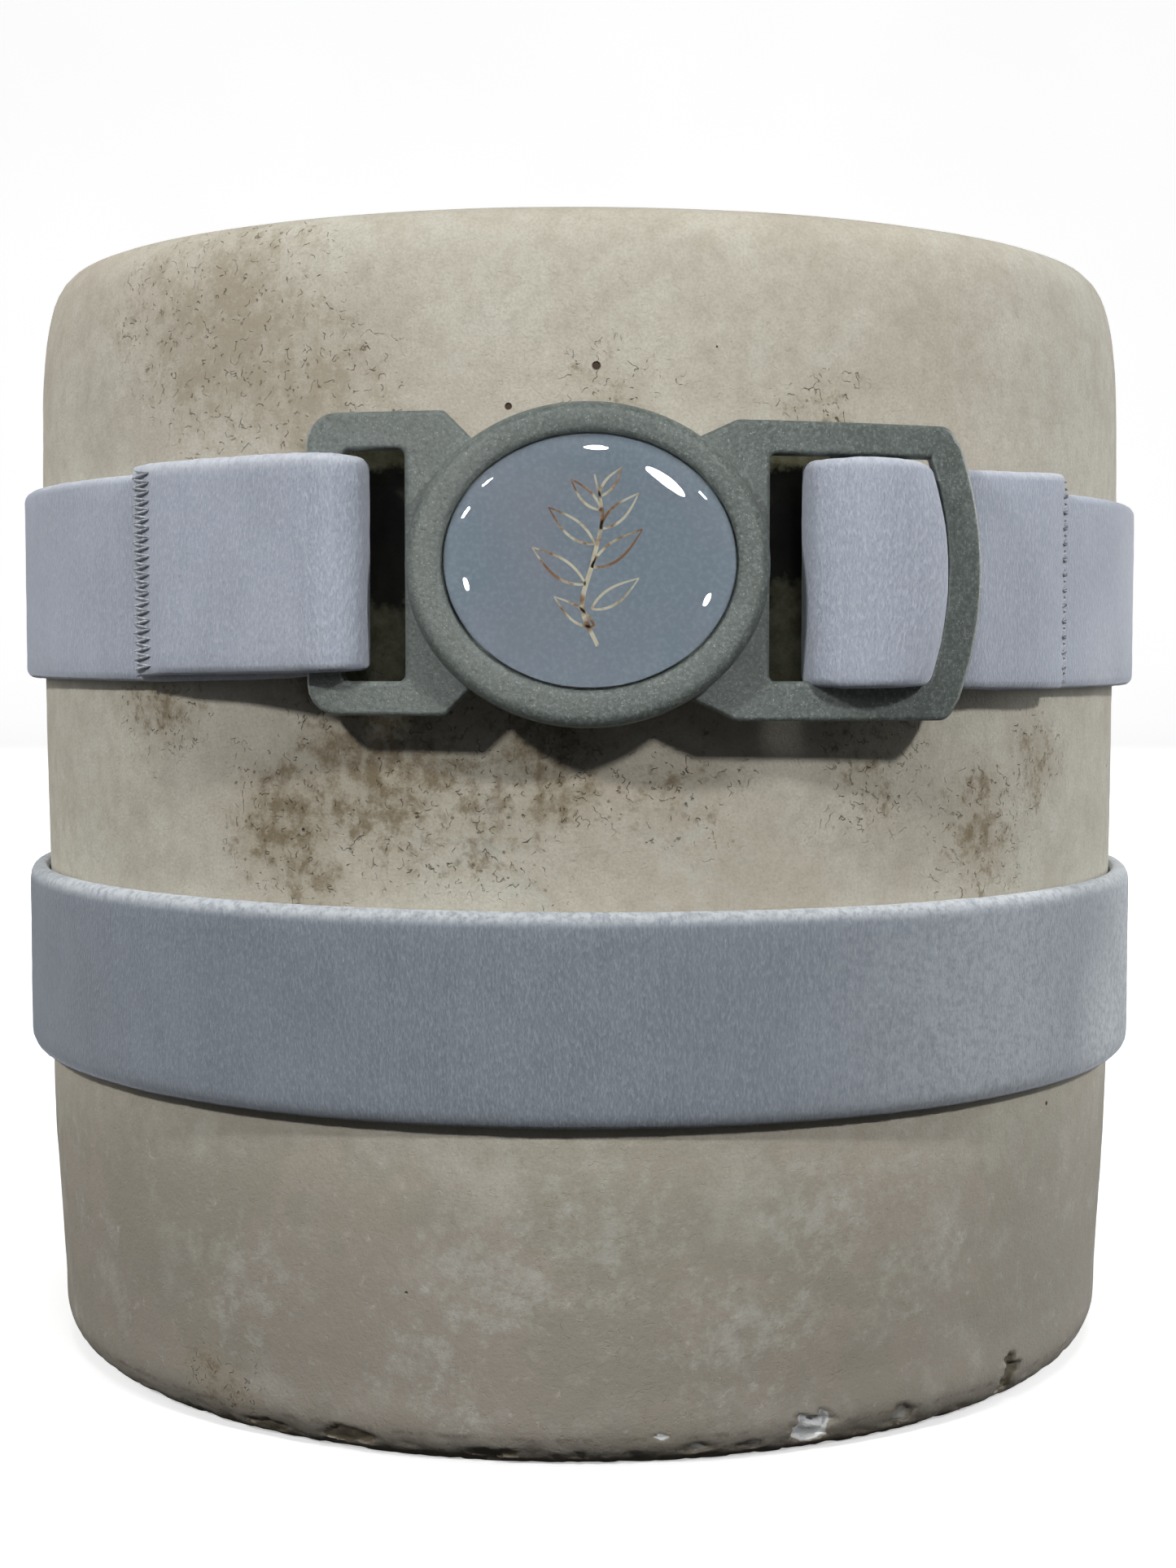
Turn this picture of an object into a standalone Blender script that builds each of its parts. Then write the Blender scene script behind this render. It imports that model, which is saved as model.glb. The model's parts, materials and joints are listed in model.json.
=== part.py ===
"""Round plaster slip-casting mold, strapped shut by two elastic belts.

Metres, +Z up. The origin is on the mold's axis, on the surface that the mold stands on.
-Y is the front, where the clasp is. The two halves part along the plane Y = 0, the base
plug drops out below, and the upper belt is closed by a two-part clasp with an oval badge.
"""

import math

import bmesh
import bpy

OBJECT_NAME = "plaster_mold"
GAP = 0.0003                # clearance between pieces that touch
WELD = 0.00001              # distance at which coincident points are joined

# Plaster body: (radius, height), down the outside, then up the inside
HEIGHT = 0.1755
OUTER_PROFILE = [
    (0.0830, HEIGHT), (0.0862, 0.1745), (0.0883, 0.1718), (0.0896, 0.1675), (0.0904, 0.1615),
    (0.0908, 0.1550), (0.0910, 0.1180), (0.0905, 0.0770), (0.0904, 0.0410), (0.0890, 0.0120),
    (0.0885, 0.0046), (0.0868, 0.0016), (0.0843, 0.0),
]
FOOT_RADIUS = 0.0420        # cavity radius where it meets the base plug
VESSEL_PROFILE = [
    (0.0475, 0.0330), (0.0520, 0.0420), (0.0558, 0.0580), (0.0585, 0.0790), (0.0595, 0.1000),
    (0.0580, 0.1200), (0.0545, 0.1370), (0.0520, 0.1480),
]
POUR_LIP = (0.0540, 0.1510)
POUR_MOUTH = (0.0600, HEIGHT)
BODY_STEPS = 64
PLUG_BOTTOM_RADIUS = 0.0500
PLUG_TOP_RADIUS = 0.0464
PLUG_HEIGHT = 0.0300
FOOT_RING_RADIUS = 0.0330   # the plug's boss, which hollows the underside of the cast
FOOT_RING_RISE = 0.0025

# Plastic keys that register the halves, as (name, x, z)
NATCHES = [
    ("left_low", -0.0690, 0.0200), ("left_high", -0.0730, 0.1560),
    ("right_low", 0.0690, 0.0200), ("right_high", 0.0730, 0.1560),
]
PEG_RADIUS = 0.0060
PEG_DEPTH = 0.0080
NUB_RADIUS = 0.0045
SOCKET_RADIUS = 0.0065
SOCKET_DEPTH = 0.0078
KEY_STEPS = 24

# Belts
WEBBING_THICKNESS = 0.0027
UPPER_BELT_Z = (0.1109, 0.1403)
UPPER_BELT_RADIUS = 0.0926  # of the webbing's middle, on the wall
LOWER_BELT_Z = (0.0490, 0.0786)
LOWER_BELT_RADIUS = 0.0922
LAYER = WEBBING_THICKNESS + GAP
FOLD_SPACING = 0.0022
LAP_DEGREES = 8.0           # half of the lower belt's overlap, at the back
THREAD_RADIUS = 0.00025
STITCHES = 14

# Clasp: curved plates about a vertical axis, in layers outward from the wall
CLASP_X = 0.00135
CLASP_Z = 0.1258
CLASP_AXIS_Y = 0.0160
SOCKET_INNER = 0.1091
FRAME_INNER = 0.1110
TONGUE_INNER = 0.1112
TONGUE_OUTER = 0.1128
BAR_OUTER = 0.1135
SOCKET_OUTER = 0.1145
FRAME_OUTER = 0.1147
PLATE_STEPS = 144
SOCKET_MOUTH_X = -0.0120
SOCKET_HALF_HEIGHT = 0.0165
TONGUE_HALF_HEIGHT = 0.0130
TONGUE_TIP_X = 0.0120

# Oval badge
BEZEL_SIZE = (0.0240, 0.0214)
BEZEL_FRONT_Y = -0.1019
BADGE_SIZE = (0.0191, 0.0165)
BADGE_SHIFT = (0.0003, 0.0005)
RECESS_Y = -0.1002
BADGE_PLATE_THICKNESS = 0.0006
DOME_RISE = 0.0018
DOME_EDGE = 0.0004
OVAL_STEPS = 64


# ---------------------------------------------------------------- scene and materials

def clear_scene():
    for obj in list(bpy.data.objects):
        bpy.data.objects.remove(obj, do_unlink=True)


def new_collection(name):
    collection = bpy.data.collections.new(name)
    bpy.context.scene.collection.children.link(collection)
    return collection


def move_to(obj, collection):
    for old in list(obj.users_collection):
        old.objects.unlink(obj)
    collection.objects.link(obj)


def make_material(name, colour, roughness, alpha=1.0):
    material = bpy.data.materials.new(name)
    material.use_nodes = True
    shader = material.node_tree.nodes["Principled BSDF"]
    shader.inputs["Base Color"].default_value = (*colour, 1.0)
    shader.inputs["Roughness"].default_value = roughness
    shader.inputs["Metallic"].default_value = 0.0
    shader.inputs["Alpha"].default_value = alpha
    return material


def finish_part(obj, material, smooth_angle=40.0):
    """Give a part its material, its shading and its place in the object's collection."""
    move_to(obj, parts)
    obj.data.materials.clear()
    obj.data.materials.append(material)
    if obj.type == "MESH":
        obj.data.shade_smooth()
        obj.data.set_sharp_from_angle(angle=math.radians(smooth_angle))
    return obj


def make_cutter(obj):
    move_to(obj, cutters)
    obj.hide_render = True
    obj.display_type = "WIRE"
    return obj


# ---------------------------------------------------------------- solids

def turned(name, profile, steps, closed=False):
    """Turn a profile of (radius, height) points about Z. A closed profile makes a ring."""
    mesh = bpy.data.meshes.new(name)
    edges = [(i, i + 1) for i in range(len(profile) - 1)]
    if closed:
        edges.append((len(profile) - 1, 0))
    mesh.from_pydata([(radius, 0.0, height) for radius, height in profile], edges, [])
    obj = bpy.data.objects.new(name, mesh)
    bpy.context.scene.collection.objects.link(obj)
    screw = obj.modifiers.new("turn", "SCREW")
    screw.steps = steps
    screw.render_steps = steps
    screw.use_merge_vertices = True
    screw.merge_threshold = WELD
    return obj


def prism(name, outlines, near_y, far_y):
    """Extrude flat (x, z) outlines along Y. Every outline after the first is a hole."""
    curve = bpy.data.curves.new(name, "CURVE")
    curve.dimensions = "2D"
    curve.fill_mode = "BOTH"
    curve.extrude = abs(far_y - near_y) / 2
    for outline in outlines:
        spline = curve.splines.new("POLY")
        spline.points.add(len(outline) - 1)
        for point, (x, z) in zip(spline.points, outline):
            point.co = (x, z, 0.0, 1.0)
        spline.use_cyclic_u = True
    guide = bpy.data.objects.new(name + "_guide", curve)
    guide.location = (0.0, (near_y + far_y) / 2, 0.0)
    guide.rotation_euler = (math.radians(90.0), 0.0, 0.0)
    bpy.context.scene.collection.objects.link(guide)
    return curve_to_mesh(name, guide)


def curve_to_mesh(name, guide):
    """Replace a curve object by a closed mesh object in the same place."""
    bpy.context.view_layer.update()
    evaluated = guide.evaluated_get(bpy.context.evaluated_depsgraph_get())
    mesh = bpy.data.meshes.new_from_object(evaluated)
    bm = bmesh.new()
    bm.from_mesh(mesh)
    bmesh.ops.remove_doubles(bm, verts=bm.verts, dist=WELD)
    bm.to_mesh(mesh)
    bm.free()
    obj = bpy.data.objects.new(name, mesh)
    obj.matrix_world = guide.matrix_world
    bpy.context.scene.collection.objects.link(obj)
    bpy.data.objects.remove(guide, do_unlink=True)
    return obj


def boolean(obj, operation, other):
    modifier = obj.modifiers.new(operation.lower(), "BOOLEAN")
    modifier.operation = operation
    modifier.solver = "EXACT"
    modifier.object = make_cutter(other)


def rounded(corners, arc_points=5):
    """An outline of (x, z) points from corners (x, z, radius), each rounded by an arc."""
    outline = []
    count = len(corners)
    for i, (x, z, radius) in enumerate(corners):
        if radius == 0.0:
            outline.append((x, z))
            continue
        before = corners[i - 1]
        after = corners[(i + 1) % count]
        into = math.atan2(before[1] - z, before[0] - x)
        away = math.atan2(after[1] - z, after[0] - x)
        half = ((away - into + math.pi) % (2 * math.pi) - math.pi) / 2
        middle = into + half
        reach = radius / math.sin(abs(half))
        centre = (x + reach * math.cos(middle), z + reach * math.sin(middle))
        sweep = math.pi - 2 * abs(half)
        turn = -1.0 if half > 0 else 1.0
        start = middle + math.pi + turn * -sweep / 2
        for step in range(arc_points):
            angle = start + turn * sweep * step / (arc_points - 1)
            outline.append((centre[0] + radius * math.cos(angle), centre[1] + radius * math.sin(angle)))
    return outline


def box_outline(low_x, high_x, low_z, high_z, radius=0.0):
    return rounded([
        (low_x, low_z, radius), (high_x, low_z, radius), (high_x, high_z, radius), (low_x, high_z, radius),
    ])


def bowed(end_x, middle_x, low_z, high_z, steps=8):
    """An upright edge that bows from end_x at both ends to middle_x half way up."""
    middle_z = (low_z + high_z) / 2
    half = (high_z - low_z) / 2
    edge = []
    for step in range(steps + 1):
        z = low_z + (high_z - low_z) * step / steps
        edge.append((end_x + (middle_x - end_x) * (1 - ((z - middle_z) / half) ** 2), z))
    return edge


def oval(size, shift=(0.0, 0.0)):
    outline = []
    for step in range(OVAL_STEPS):
        angle = 2 * math.pi * step / OVAL_STEPS
        x = CLASP_X + shift[0] + size[0] * math.cos(angle)
        outline.append((x, CLASP_Z + shift[1] + size[1] * math.sin(angle)))
    return outline


def curved_plate(name, outlines, inner, outer):
    """The outlines, cut through a plate that curves about the clasp's upright axis."""
    plate = prism(name, outlines, -0.120, -0.050)
    profile = [(outer, 0.20), (outer, 0.05), (inner, 0.05), (inner, 0.20)]
    shell = turned(name + "_shell", profile, PLATE_STEPS, closed=True)
    shell.location = (CLASP_X, CLASP_AXIS_Y, 0.0)
    boolean(plate, "INTERSECT", shell)
    return plate


# ---------------------------------------------------------------- plaster pieces

def mold_half(name, side):
    """One half of the mold; side is -1 for the front half and +1 for the back half."""
    foot = (FOOT_RADIUS, PLUG_HEIGHT + GAP)
    seat = [(PLUG_BOTTOM_RADIUS, 0.0), (PLUG_TOP_RADIUS, PLUG_HEIGHT + GAP)]
    profile = OUTER_PROFILE + seat + [foot] + VESSEL_PROFILE + [POUR_LIP, POUR_MOUTH]
    half = turned(name, profile, BODY_STEPS, closed=True)
    half.rotation_euler = (0.0, 0.0, math.pi / BODY_STEPS)
    bpy.ops.mesh.primitive_cube_add(size=0.4, location=(0.0, side * (-0.2 + GAP / 2), 0.1))
    boolean(half, "DIFFERENCE", bpy.context.object)
    depth = PEG_DEPTH if side < 0 else SOCKET_DEPTH
    radius = PEG_RADIUS if side < 0 else SOCKET_RADIUS
    for natch, x, z in NATCHES:
        bpy.ops.mesh.primitive_cylinder_add(
            vertices=KEY_STEPS, radius=radius + GAP, depth=2 * (depth + GAP),
            location=(x, 0.0, z), rotation=(math.radians(90.0), 0.0, 0.0),
        )
        boolean(half, "DIFFERENCE", bpy.context.object)
    return finish_part(half, plaster)


def base_plug():
    """The tapered plug that forms the foot of the cast."""
    profile = [
        (0.0, PLUG_HEIGHT + FOOT_RING_RISE), (FOOT_RING_RADIUS - 0.0025, PLUG_HEIGHT + FOOT_RING_RISE),
        (FOOT_RING_RADIUS, PLUG_HEIGHT), (PLUG_TOP_RADIUS - GAP, PLUG_HEIGHT),
        (PLUG_BOTTOM_RADIUS - GAP - 0.0002, 0.0012), (PLUG_BOTTOM_RADIUS - 0.0017, 0.0), (0.0, 0.0),
    ]
    return finish_part(turned("mold_base_plug", profile, BODY_STEPS), plaster)


def natch_peg(name, x, z):
    """A plastic key set into the front half; its rounded nub crosses the parting line."""
    nub = [(0.0, NUB_RADIUS)]
    for step in range(1, 5):
        angle = math.radians(90.0 - 22.5 * step)
        nub.append((NUB_RADIUS * math.cos(angle), NUB_RADIUS * math.sin(angle)))
    profile = nub + [(PEG_RADIUS, 0.0), (PEG_RADIUS, -PEG_DEPTH), (0.0, -PEG_DEPTH)]
    peg = turned("natch_peg_" + name, profile, KEY_STEPS)
    peg.location = (x, -GAP / 2, z)
    peg.rotation_euler = (math.radians(-90.0), 0.0, 0.0)
    return finish_part(peg, peg_plastic)


def natch_socket(name, x, z):
    """The cup in the back half that takes a peg's nub."""
    mouth = NUB_RADIUS + GAP
    hollow = []
    for step in range(5):
        angle = math.radians(-90.0 + 22.5 * step)
        hollow.append((mouth * math.cos(angle), (mouth + GAP) * math.sin(angle)))
    hollow[0] = (0.0, -mouth - GAP)
    profile = hollow + [(SOCKET_RADIUS, 0.0), (SOCKET_RADIUS, -SOCKET_DEPTH), (0.0, -SOCKET_DEPTH)]
    socket = turned("natch_socket_" + name, profile, KEY_STEPS)
    socket.location = (x, GAP / 2, z)
    socket.rotation_euler = (math.radians(90.0), 0.0, 0.0)
    return finish_part(socket, socket_plastic)


# ---------------------------------------------------------------- belts

def on_mold(degrees, radius):
    """A plan point at an angle round the mold from the front; negative is to the left."""
    angle = math.radians(degrees)
    return (radius * math.sin(angle), -radius * math.cos(angle))


def smooth_route(points, spacing):
    """Even points along a centripetal Catmull-Rom curve through hand-placed plan points."""
    ends = [(2 * points[0][0] - points[1][0], 2 * points[0][1] - points[1][1])]
    last = [(2 * points[-1][0] - points[-2][0], 2 * points[-1][1] - points[-2][1])]
    chain = ends + points + last
    route = [points[0]]
    for a, b, c, d in zip(chain, chain[1:], chain[2:], chain[3:]):
        knots = [0.0]
        for start, end in ((a, b), (b, c), (c, d)):
            knots.append(knots[-1] + math.sqrt(math.dist(start, end)))
        steps = max(1, round(math.dist(b, c) / spacing))
        for step in range(1, steps + 1):
            t = knots[1] + (knots[2] - knots[1]) * step / steps
            route.append(tuple(catmull_rom(t, knots, (a[i], b[i], c[i], d[i])) for i in (0, 1)))
    return route


def catmull_rom(t, knots, values):
    """One coordinate of the curve at t, by repeated blending between neighbours."""
    def blend(low, high, first, second):
        return first + (second - first) * (t - low) / (high - low)
    k0, k1, k2, k3 = knots
    ab = blend(k0, k1, values[0], values[1])
    bc = blend(k1, k2, values[1], values[2])
    cd = blend(k2, k3, values[2], values[3])
    return blend(k1, k2, blend(k0, k2, ab, bc), blend(k1, k3, bc, cd))


def webbing(name, route, low_high):
    """A flat belt that stands on edge along a plan route."""
    low, high = low_high
    mesh = bpy.data.meshes.new(name)
    mesh.from_pydata([(x, y, low) for x, y in route], [(i, i + 1) for i in range(len(route) - 1)], [])
    bm = bmesh.new()
    bm.from_mesh(mesh)
    raised = bmesh.ops.extrude_edge_only(bm, edges=bm.edges)["geom"]
    corners = [item for item in raised if isinstance(item, bmesh.types.BMVert)]
    bmesh.ops.translate(bm, verts=corners, vec=(0.0, 0.0, high - low))
    bm.to_mesh(mesh)
    bm.free()
    belt = bpy.data.objects.new(name, mesh)
    bpy.context.scene.collection.objects.link(belt)
    solidify = belt.modifiers.new("thickness", "SOLIDIFY")
    solidify.thickness = WEBBING_THICKNESS
    solidify.offset = 0.0
    solidify.use_even_offset = True
    return finish_part(belt, webbing_fabric)


def upper_belt_route():
    """From the left folded end, round the back of the mold, to the right folded end."""
    double = UPPER_BELT_RADIUS + LAYER
    left_fold = [
        on_mold(-42.3, double), on_mold(-40.0, double + 0.0001), on_mold(-31.0, 0.0972),
        (-0.0374, -0.0942), (-0.0346, -0.0961), (-0.0318, -0.0964), (-0.0299, -0.0951),
        (-0.0295, -0.0925), (-0.0297, -0.0897), (-0.0312, -0.0879), (-0.0345, -0.0868), (-0.0376, -0.0857),
    ]
    left_fold += [on_mold(-28.0, 0.0932), on_mold(-35.0, UPPER_BELT_RADIUS)]
    around = [on_mold(degrees, UPPER_BELT_RADIUS) for degrees in range(-40, -325, -5)]
    right_fold = [
        on_mold(35.0, UPPER_BELT_RADIUS), on_mold(30.0, UPPER_BELT_RADIUS),
        on_mold(28.0, 0.0927), on_mold(25.5, 0.0933), on_mold(23.0, 0.0943),
        (0.0334, -0.0882), (0.0320, -0.0896), (0.0317, -0.0922), (0.0326, -0.0948), (0.0354, -0.0962),
        (0.0395, -0.0963), (0.0435, -0.0948), (0.0459, -0.0922), (0.0463, -0.0893), (0.0461, -0.0862),
        (0.0464, -0.0842), (0.0475, -0.0830), (0.0495, -0.0820), (0.0522, -0.0805), (0.0552, -0.0786),
        on_mold(38.0, 0.0957), on_mold(41.0, double), on_mold(44.5, double), on_mold(48.0, double),
    ]
    return smooth_route(left_fold, FOLD_SPACING) + around + smooth_route(right_fold, FOLD_SPACING)


def lower_belt_route():
    """Once round the mold, with the ends lapped at the back."""
    route = []
    span = 180.0 + LAP_DEGREES
    steps = 76
    for step in range(steps + 1):
        degrees = -span + 2 * span * step / steps
        climb = min(1.0, max(0.0, (degrees - (180.0 - 3 * LAP_DEGREES)) / LAP_DEGREES))
        route.append(on_mold(degrees, LOWER_BELT_RADIUS + LAYER * climb))
    return route


def seam_thread(name, start, end, radius, low_high):
    """One zigzag thread, sewn up and down a belt between two angles."""
    low, high = low_high
    curve = bpy.data.curves.new(name, "CURVE")
    curve.dimensions = "3D"
    curve.bevel_depth = THREAD_RADIUS
    curve.bevel_resolution = 1
    curve.use_fill_caps = True
    spline = curve.splines.new("POLY")
    spline.points.add(STITCHES)
    margin = 0.0010
    for step, point in enumerate(spline.points):
        x, y = on_mold(start if step % 2 else end, radius)
        z = low + margin + (high - low - 2 * margin) * step / STITCHES
        point.co = (x, y, z, 1.0)
    thread = bpy.data.objects.new(name, curve)
    bpy.context.scene.collection.objects.link(thread)
    return finish_part(thread, sewing_thread)


# ---------------------------------------------------------------- clasp

def clasp_left_half():
    """Left frame with its strap bar, and the tongue that slides into the right half."""
    outline = rounded([
        (-0.0366, 0.1059, 0.0030), (-0.0177, 0.1059, 0.0008), (-0.0126, 0.1110, 0.0),
        (-0.0126, 0.1413, 0.0), (-0.0177, 0.1464, 0.0008), (-0.0366, 0.1464, 0.0030),
    ])
    slot = box_outline(-0.0315, -0.0230, 0.1105, 0.1414, 0.0008)
    half = curved_plate("clasp_left_half", [outline, slot], FRAME_INNER, FRAME_OUTER)
    tongue_outline = box_outline(
        -0.0160, TONGUE_TIP_X, CLASP_Z - TONGUE_HALF_HEIGHT, CLASP_Z + TONGUE_HALF_HEIGHT, 0.0020,
    )
    tongue = curved_plate("clasp_tongue", [tongue_outline], TONGUE_INNER, TONGUE_OUTER)
    boolean(half, "UNION", tongue)
    return finish_part(half, clasp_plastic)


def clasp_right_half():
    """Right frame with its centre bar, and the socket behind the badge."""
    outer_edge = bowed(0.0526, 0.0558, 0.1080, 0.1422)
    outline = rounded(
        [(0.0130, 0.1090, 0.0), (0.0212, 0.1052, 0.0015), (0.0508, 0.1050, 0.0020)]
        + [(x, z, 0.0) for x, z in outer_edge]
        + [(0.0506, 0.1451, 0.0020), (0.0212, 0.1452, 0.0015), (0.0130, 0.1414, 0.0)]
    )
    inner_edge = bowed(0.0480, 0.0507, 0.1105, 0.1407)
    opening = rounded(
        [(0.0256, 0.1105, 0.0006)] + [(x, z, 0.0) for x, z in inner_edge] + [(0.0256, 0.1407, 0.0006)]
    )
    half = curved_plate("clasp_right_half", [outline, opening], FRAME_INNER, FRAME_OUTER)
    bar = box_outline(0.0340, 0.0444, 0.1085, 0.1427)
    boolean(half, "UNION", curved_plate("clasp_centre_bar", [bar], TONGUE_INNER, BAR_OUTER))
    low, high = CLASP_Z - SOCKET_HALF_HEIGHT, CLASP_Z + SOCKET_HALF_HEIGHT
    socket = box_outline(SOCKET_MOUTH_X, 0.0190, low, high)
    boolean(half, "UNION", curved_plate("clasp_socket", [socket], SOCKET_INNER, SOCKET_OUTER))
    channel = box_outline(
        SOCKET_MOUTH_X - 0.0050, TONGUE_TIP_X + 2 * GAP,
        CLASP_Z - TONGUE_HALF_HEIGHT - GAP, CLASP_Z + TONGUE_HALF_HEIGHT + GAP,
    )
    boolean(half, "DIFFERENCE", curved_plate(
        "clasp_channel", [channel], TONGUE_INNER - GAP, TONGUE_OUTER + GAP,
    ))
    return finish_part(half, clasp_plastic)


def clasp_bezel():
    """The oval dish on the front of the clasp that carries the badge."""
    bezel = prism("clasp_bezel", [oval(BEZEL_SIZE)], BEZEL_FRONT_Y, -0.0900)
    recess_size = (BADGE_SIZE[0] + GAP, BADGE_SIZE[1] + GAP)
    recess = prism("bezel_recess", [oval(recess_size, BADGE_SHIFT)], -0.1100, RECESS_Y)
    boolean(bezel, "DIFFERENCE", recess)
    profile = [(0.0, 0.20), (FRAME_OUTER + GAP, 0.20), (FRAME_OUTER + GAP, 0.05), (0.0, 0.05)]
    backing = turned("bezel_backing", profile, PLATE_STEPS)
    backing.location = (CLASP_X, CLASP_AXIS_Y, 0.0)
    boolean(bezel, "DIFFERENCE", backing)
    return finish_part(bezel, clasp_plastic)


def badge_plate():
    near = RECESS_Y - GAP - BADGE_PLATE_THICKNESS
    plate = prism("badge_plate", [oval(BADGE_SIZE, BADGE_SHIFT)], near, RECESS_Y - GAP)
    return finish_part(plate, badge_print)


def badge_dome():
    """A clear lens over the badge: a turned dome, stretched into an oval."""
    width, height = BADGE_SIZE
    profile = [(0.0, DOME_EDGE + DOME_RISE)]
    for step in range(1, 9):
        angle = math.radians(90.0 * step / 8)
        profile.append((height * math.sin(angle), DOME_EDGE + DOME_RISE * math.cos(angle)))
    profile += [(height, 0.0), (0.0, 0.0)]
    dome = turned("badge_dome", profile, OVAL_STEPS)
    dome.scale = (width / height, 1.0, 1.0)
    dome.location = (
        CLASP_X + BADGE_SHIFT[0], RECESS_Y - 2 * GAP - BADGE_PLATE_THICKNESS, CLASP_Z + BADGE_SHIFT[1],
    )
    dome.rotation_euler = (math.radians(90.0), 0.0, 0.0)
    return finish_part(dome, clear_resin)


# ---------------------------------------------------------------- the assembly

clear_scene()
parts = new_collection(OBJECT_NAME)
cutters = new_collection("cutters")

plaster = make_material("plaster", (0.56, 0.51, 0.43), 0.90)
peg_plastic = make_material("peg_plastic", (0.82, 0.80, 0.74), 0.45)
socket_plastic = make_material("socket_plastic", (0.30, 0.42, 0.55), 0.45)
webbing_fabric = make_material("webbing_fabric", (0.42, 0.45, 0.52), 0.80)
sewing_thread = make_material("sewing_thread", (0.33, 0.36, 0.42), 0.80)
clasp_plastic = make_material("clasp_plastic", (0.20, 0.23, 0.21), 0.42)
badge_print = make_material("badge_print", (0.24, 0.28, 0.34), 0.40)
clear_resin = make_material("clear_resin", (0.90, 0.93, 0.95), 0.05, alpha=0.35)

mold_half("mold_front_half", -1)
mold_half("mold_back_half", 1)
base_plug()
for key_name, key_x, key_z in NATCHES:
    natch_peg(key_name, key_x, key_z)
    natch_socket(key_name, key_x, key_z)

SURFACE = WEBBING_THICKNESS / 2 + GAP + THREAD_RADIUS
webbing("upper_belt_webbing", upper_belt_route(), UPPER_BELT_Z)
seam_thread("upper_belt_left_seam", -41.6, -39.2, UPPER_BELT_RADIUS + LAYER + SURFACE, UPPER_BELT_Z)
seam_thread("upper_belt_right_seam", 48.6, 51.2, UPPER_BELT_RADIUS + SURFACE, UPPER_BELT_Z)
webbing("lower_belt_webbing", lower_belt_route(), LOWER_BELT_Z)
seam_thread("lower_belt_seam", 178.6, 181.4, LOWER_BELT_RADIUS + LAYER + SURFACE, LOWER_BELT_Z)

clasp_left_half()
clasp_right_half()
clasp_bezel()
badge_plate()
badge_dome()
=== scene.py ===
"""Looks of the strapped plaster mold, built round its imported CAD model.

Metres, +Z up, on the mold's axis. -Y is the front, where the clasp is. Angles round the mold
are in degrees from the front, and negative to the left.
"""

import json
import math

import bmesh
import bpy
from mathutils import Matrix, Vector, noise


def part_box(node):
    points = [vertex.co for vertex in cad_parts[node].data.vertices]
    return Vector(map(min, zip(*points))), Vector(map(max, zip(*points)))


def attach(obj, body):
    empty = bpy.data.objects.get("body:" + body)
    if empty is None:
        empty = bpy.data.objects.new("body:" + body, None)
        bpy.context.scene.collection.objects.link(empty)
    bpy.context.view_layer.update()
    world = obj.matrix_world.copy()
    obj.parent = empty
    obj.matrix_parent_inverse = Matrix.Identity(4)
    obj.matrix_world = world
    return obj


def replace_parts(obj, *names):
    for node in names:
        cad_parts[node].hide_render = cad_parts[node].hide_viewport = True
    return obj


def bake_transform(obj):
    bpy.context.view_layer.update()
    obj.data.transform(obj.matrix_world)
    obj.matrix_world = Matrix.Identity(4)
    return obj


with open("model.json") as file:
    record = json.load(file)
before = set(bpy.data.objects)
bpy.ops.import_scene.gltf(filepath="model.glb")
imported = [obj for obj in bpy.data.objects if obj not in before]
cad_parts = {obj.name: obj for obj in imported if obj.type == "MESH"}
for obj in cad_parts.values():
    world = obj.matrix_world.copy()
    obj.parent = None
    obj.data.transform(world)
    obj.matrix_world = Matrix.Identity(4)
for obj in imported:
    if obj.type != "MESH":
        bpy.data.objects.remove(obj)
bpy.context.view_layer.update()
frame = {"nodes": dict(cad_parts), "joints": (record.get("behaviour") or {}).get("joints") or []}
NODES = frame["nodes"]

GAP = 0.0003                # left between pieces that would touch
WELD = 0.00001

# ---------------------------------------------------------------- sizes read from the frame

FRONT_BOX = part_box("mold_front_half")
HEIGHT = FRONT_BOX[1].z
WALL_FROM = 0.0805          # the outer wall's profile is all outside this radius
CAVITY_TO = 0.0605          # and the cavity's is all inside this one
CAVITY_ABOVE = 0.0320
UPPER_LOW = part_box("upper_belt_webbing")[0].z
UPPER_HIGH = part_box("upper_belt_webbing")[1].z
LOWER_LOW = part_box("lower_belt_webbing")[0].z
LOWER_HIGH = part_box("lower_belt_webbing")[1].z

BEZEL_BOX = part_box("clasp_bezel")
CLASP_X = (BEZEL_BOX[0].x + BEZEL_BOX[1].x) / 2
CLASP_Z = (BEZEL_BOX[0].z + BEZEL_BOX[1].z) / 2
CLASP_AXIS_Y = frame["joints"][-1]["pos_m"][1]
BADGE_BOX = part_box("badge_plate")
DOME_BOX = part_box("badge_dome")

# ---------------------------------------------------------------- plaster sizes

COLUMN_DEGREES = 0.5
ROW_SPACING = 0.0016
EDGE_ROW_SPACING = 0.0004
EDGE_ROWS_BELOW = 0.0090
CAVITY_ROW_SPACING = 0.0030
BORE_STEPS = 32
PARTING_BAND = 0.010        # CAD points this near to the parting plane are passed over
VESSEL_TOP = 0.150          # the cavity is the cast vessel's below this, and the pour mouth's above
FOOT_RADIUS = 0.0888        # of the wall at its bottom edge, where the chips are
PLUG_SHOULDER = 0.0300      # height of the base plug's wide part
PLUG_EASE = 0.0006
PLUG_STEPS = 128
SAME = 0.0002               # heights closer than this are one height
KEY_STEPS = 48
KEY_EASE = 0.0003
NATCHES = [f"{side}_{level}" for side in ("left", "right") for level in ("low", "high")]

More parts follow.
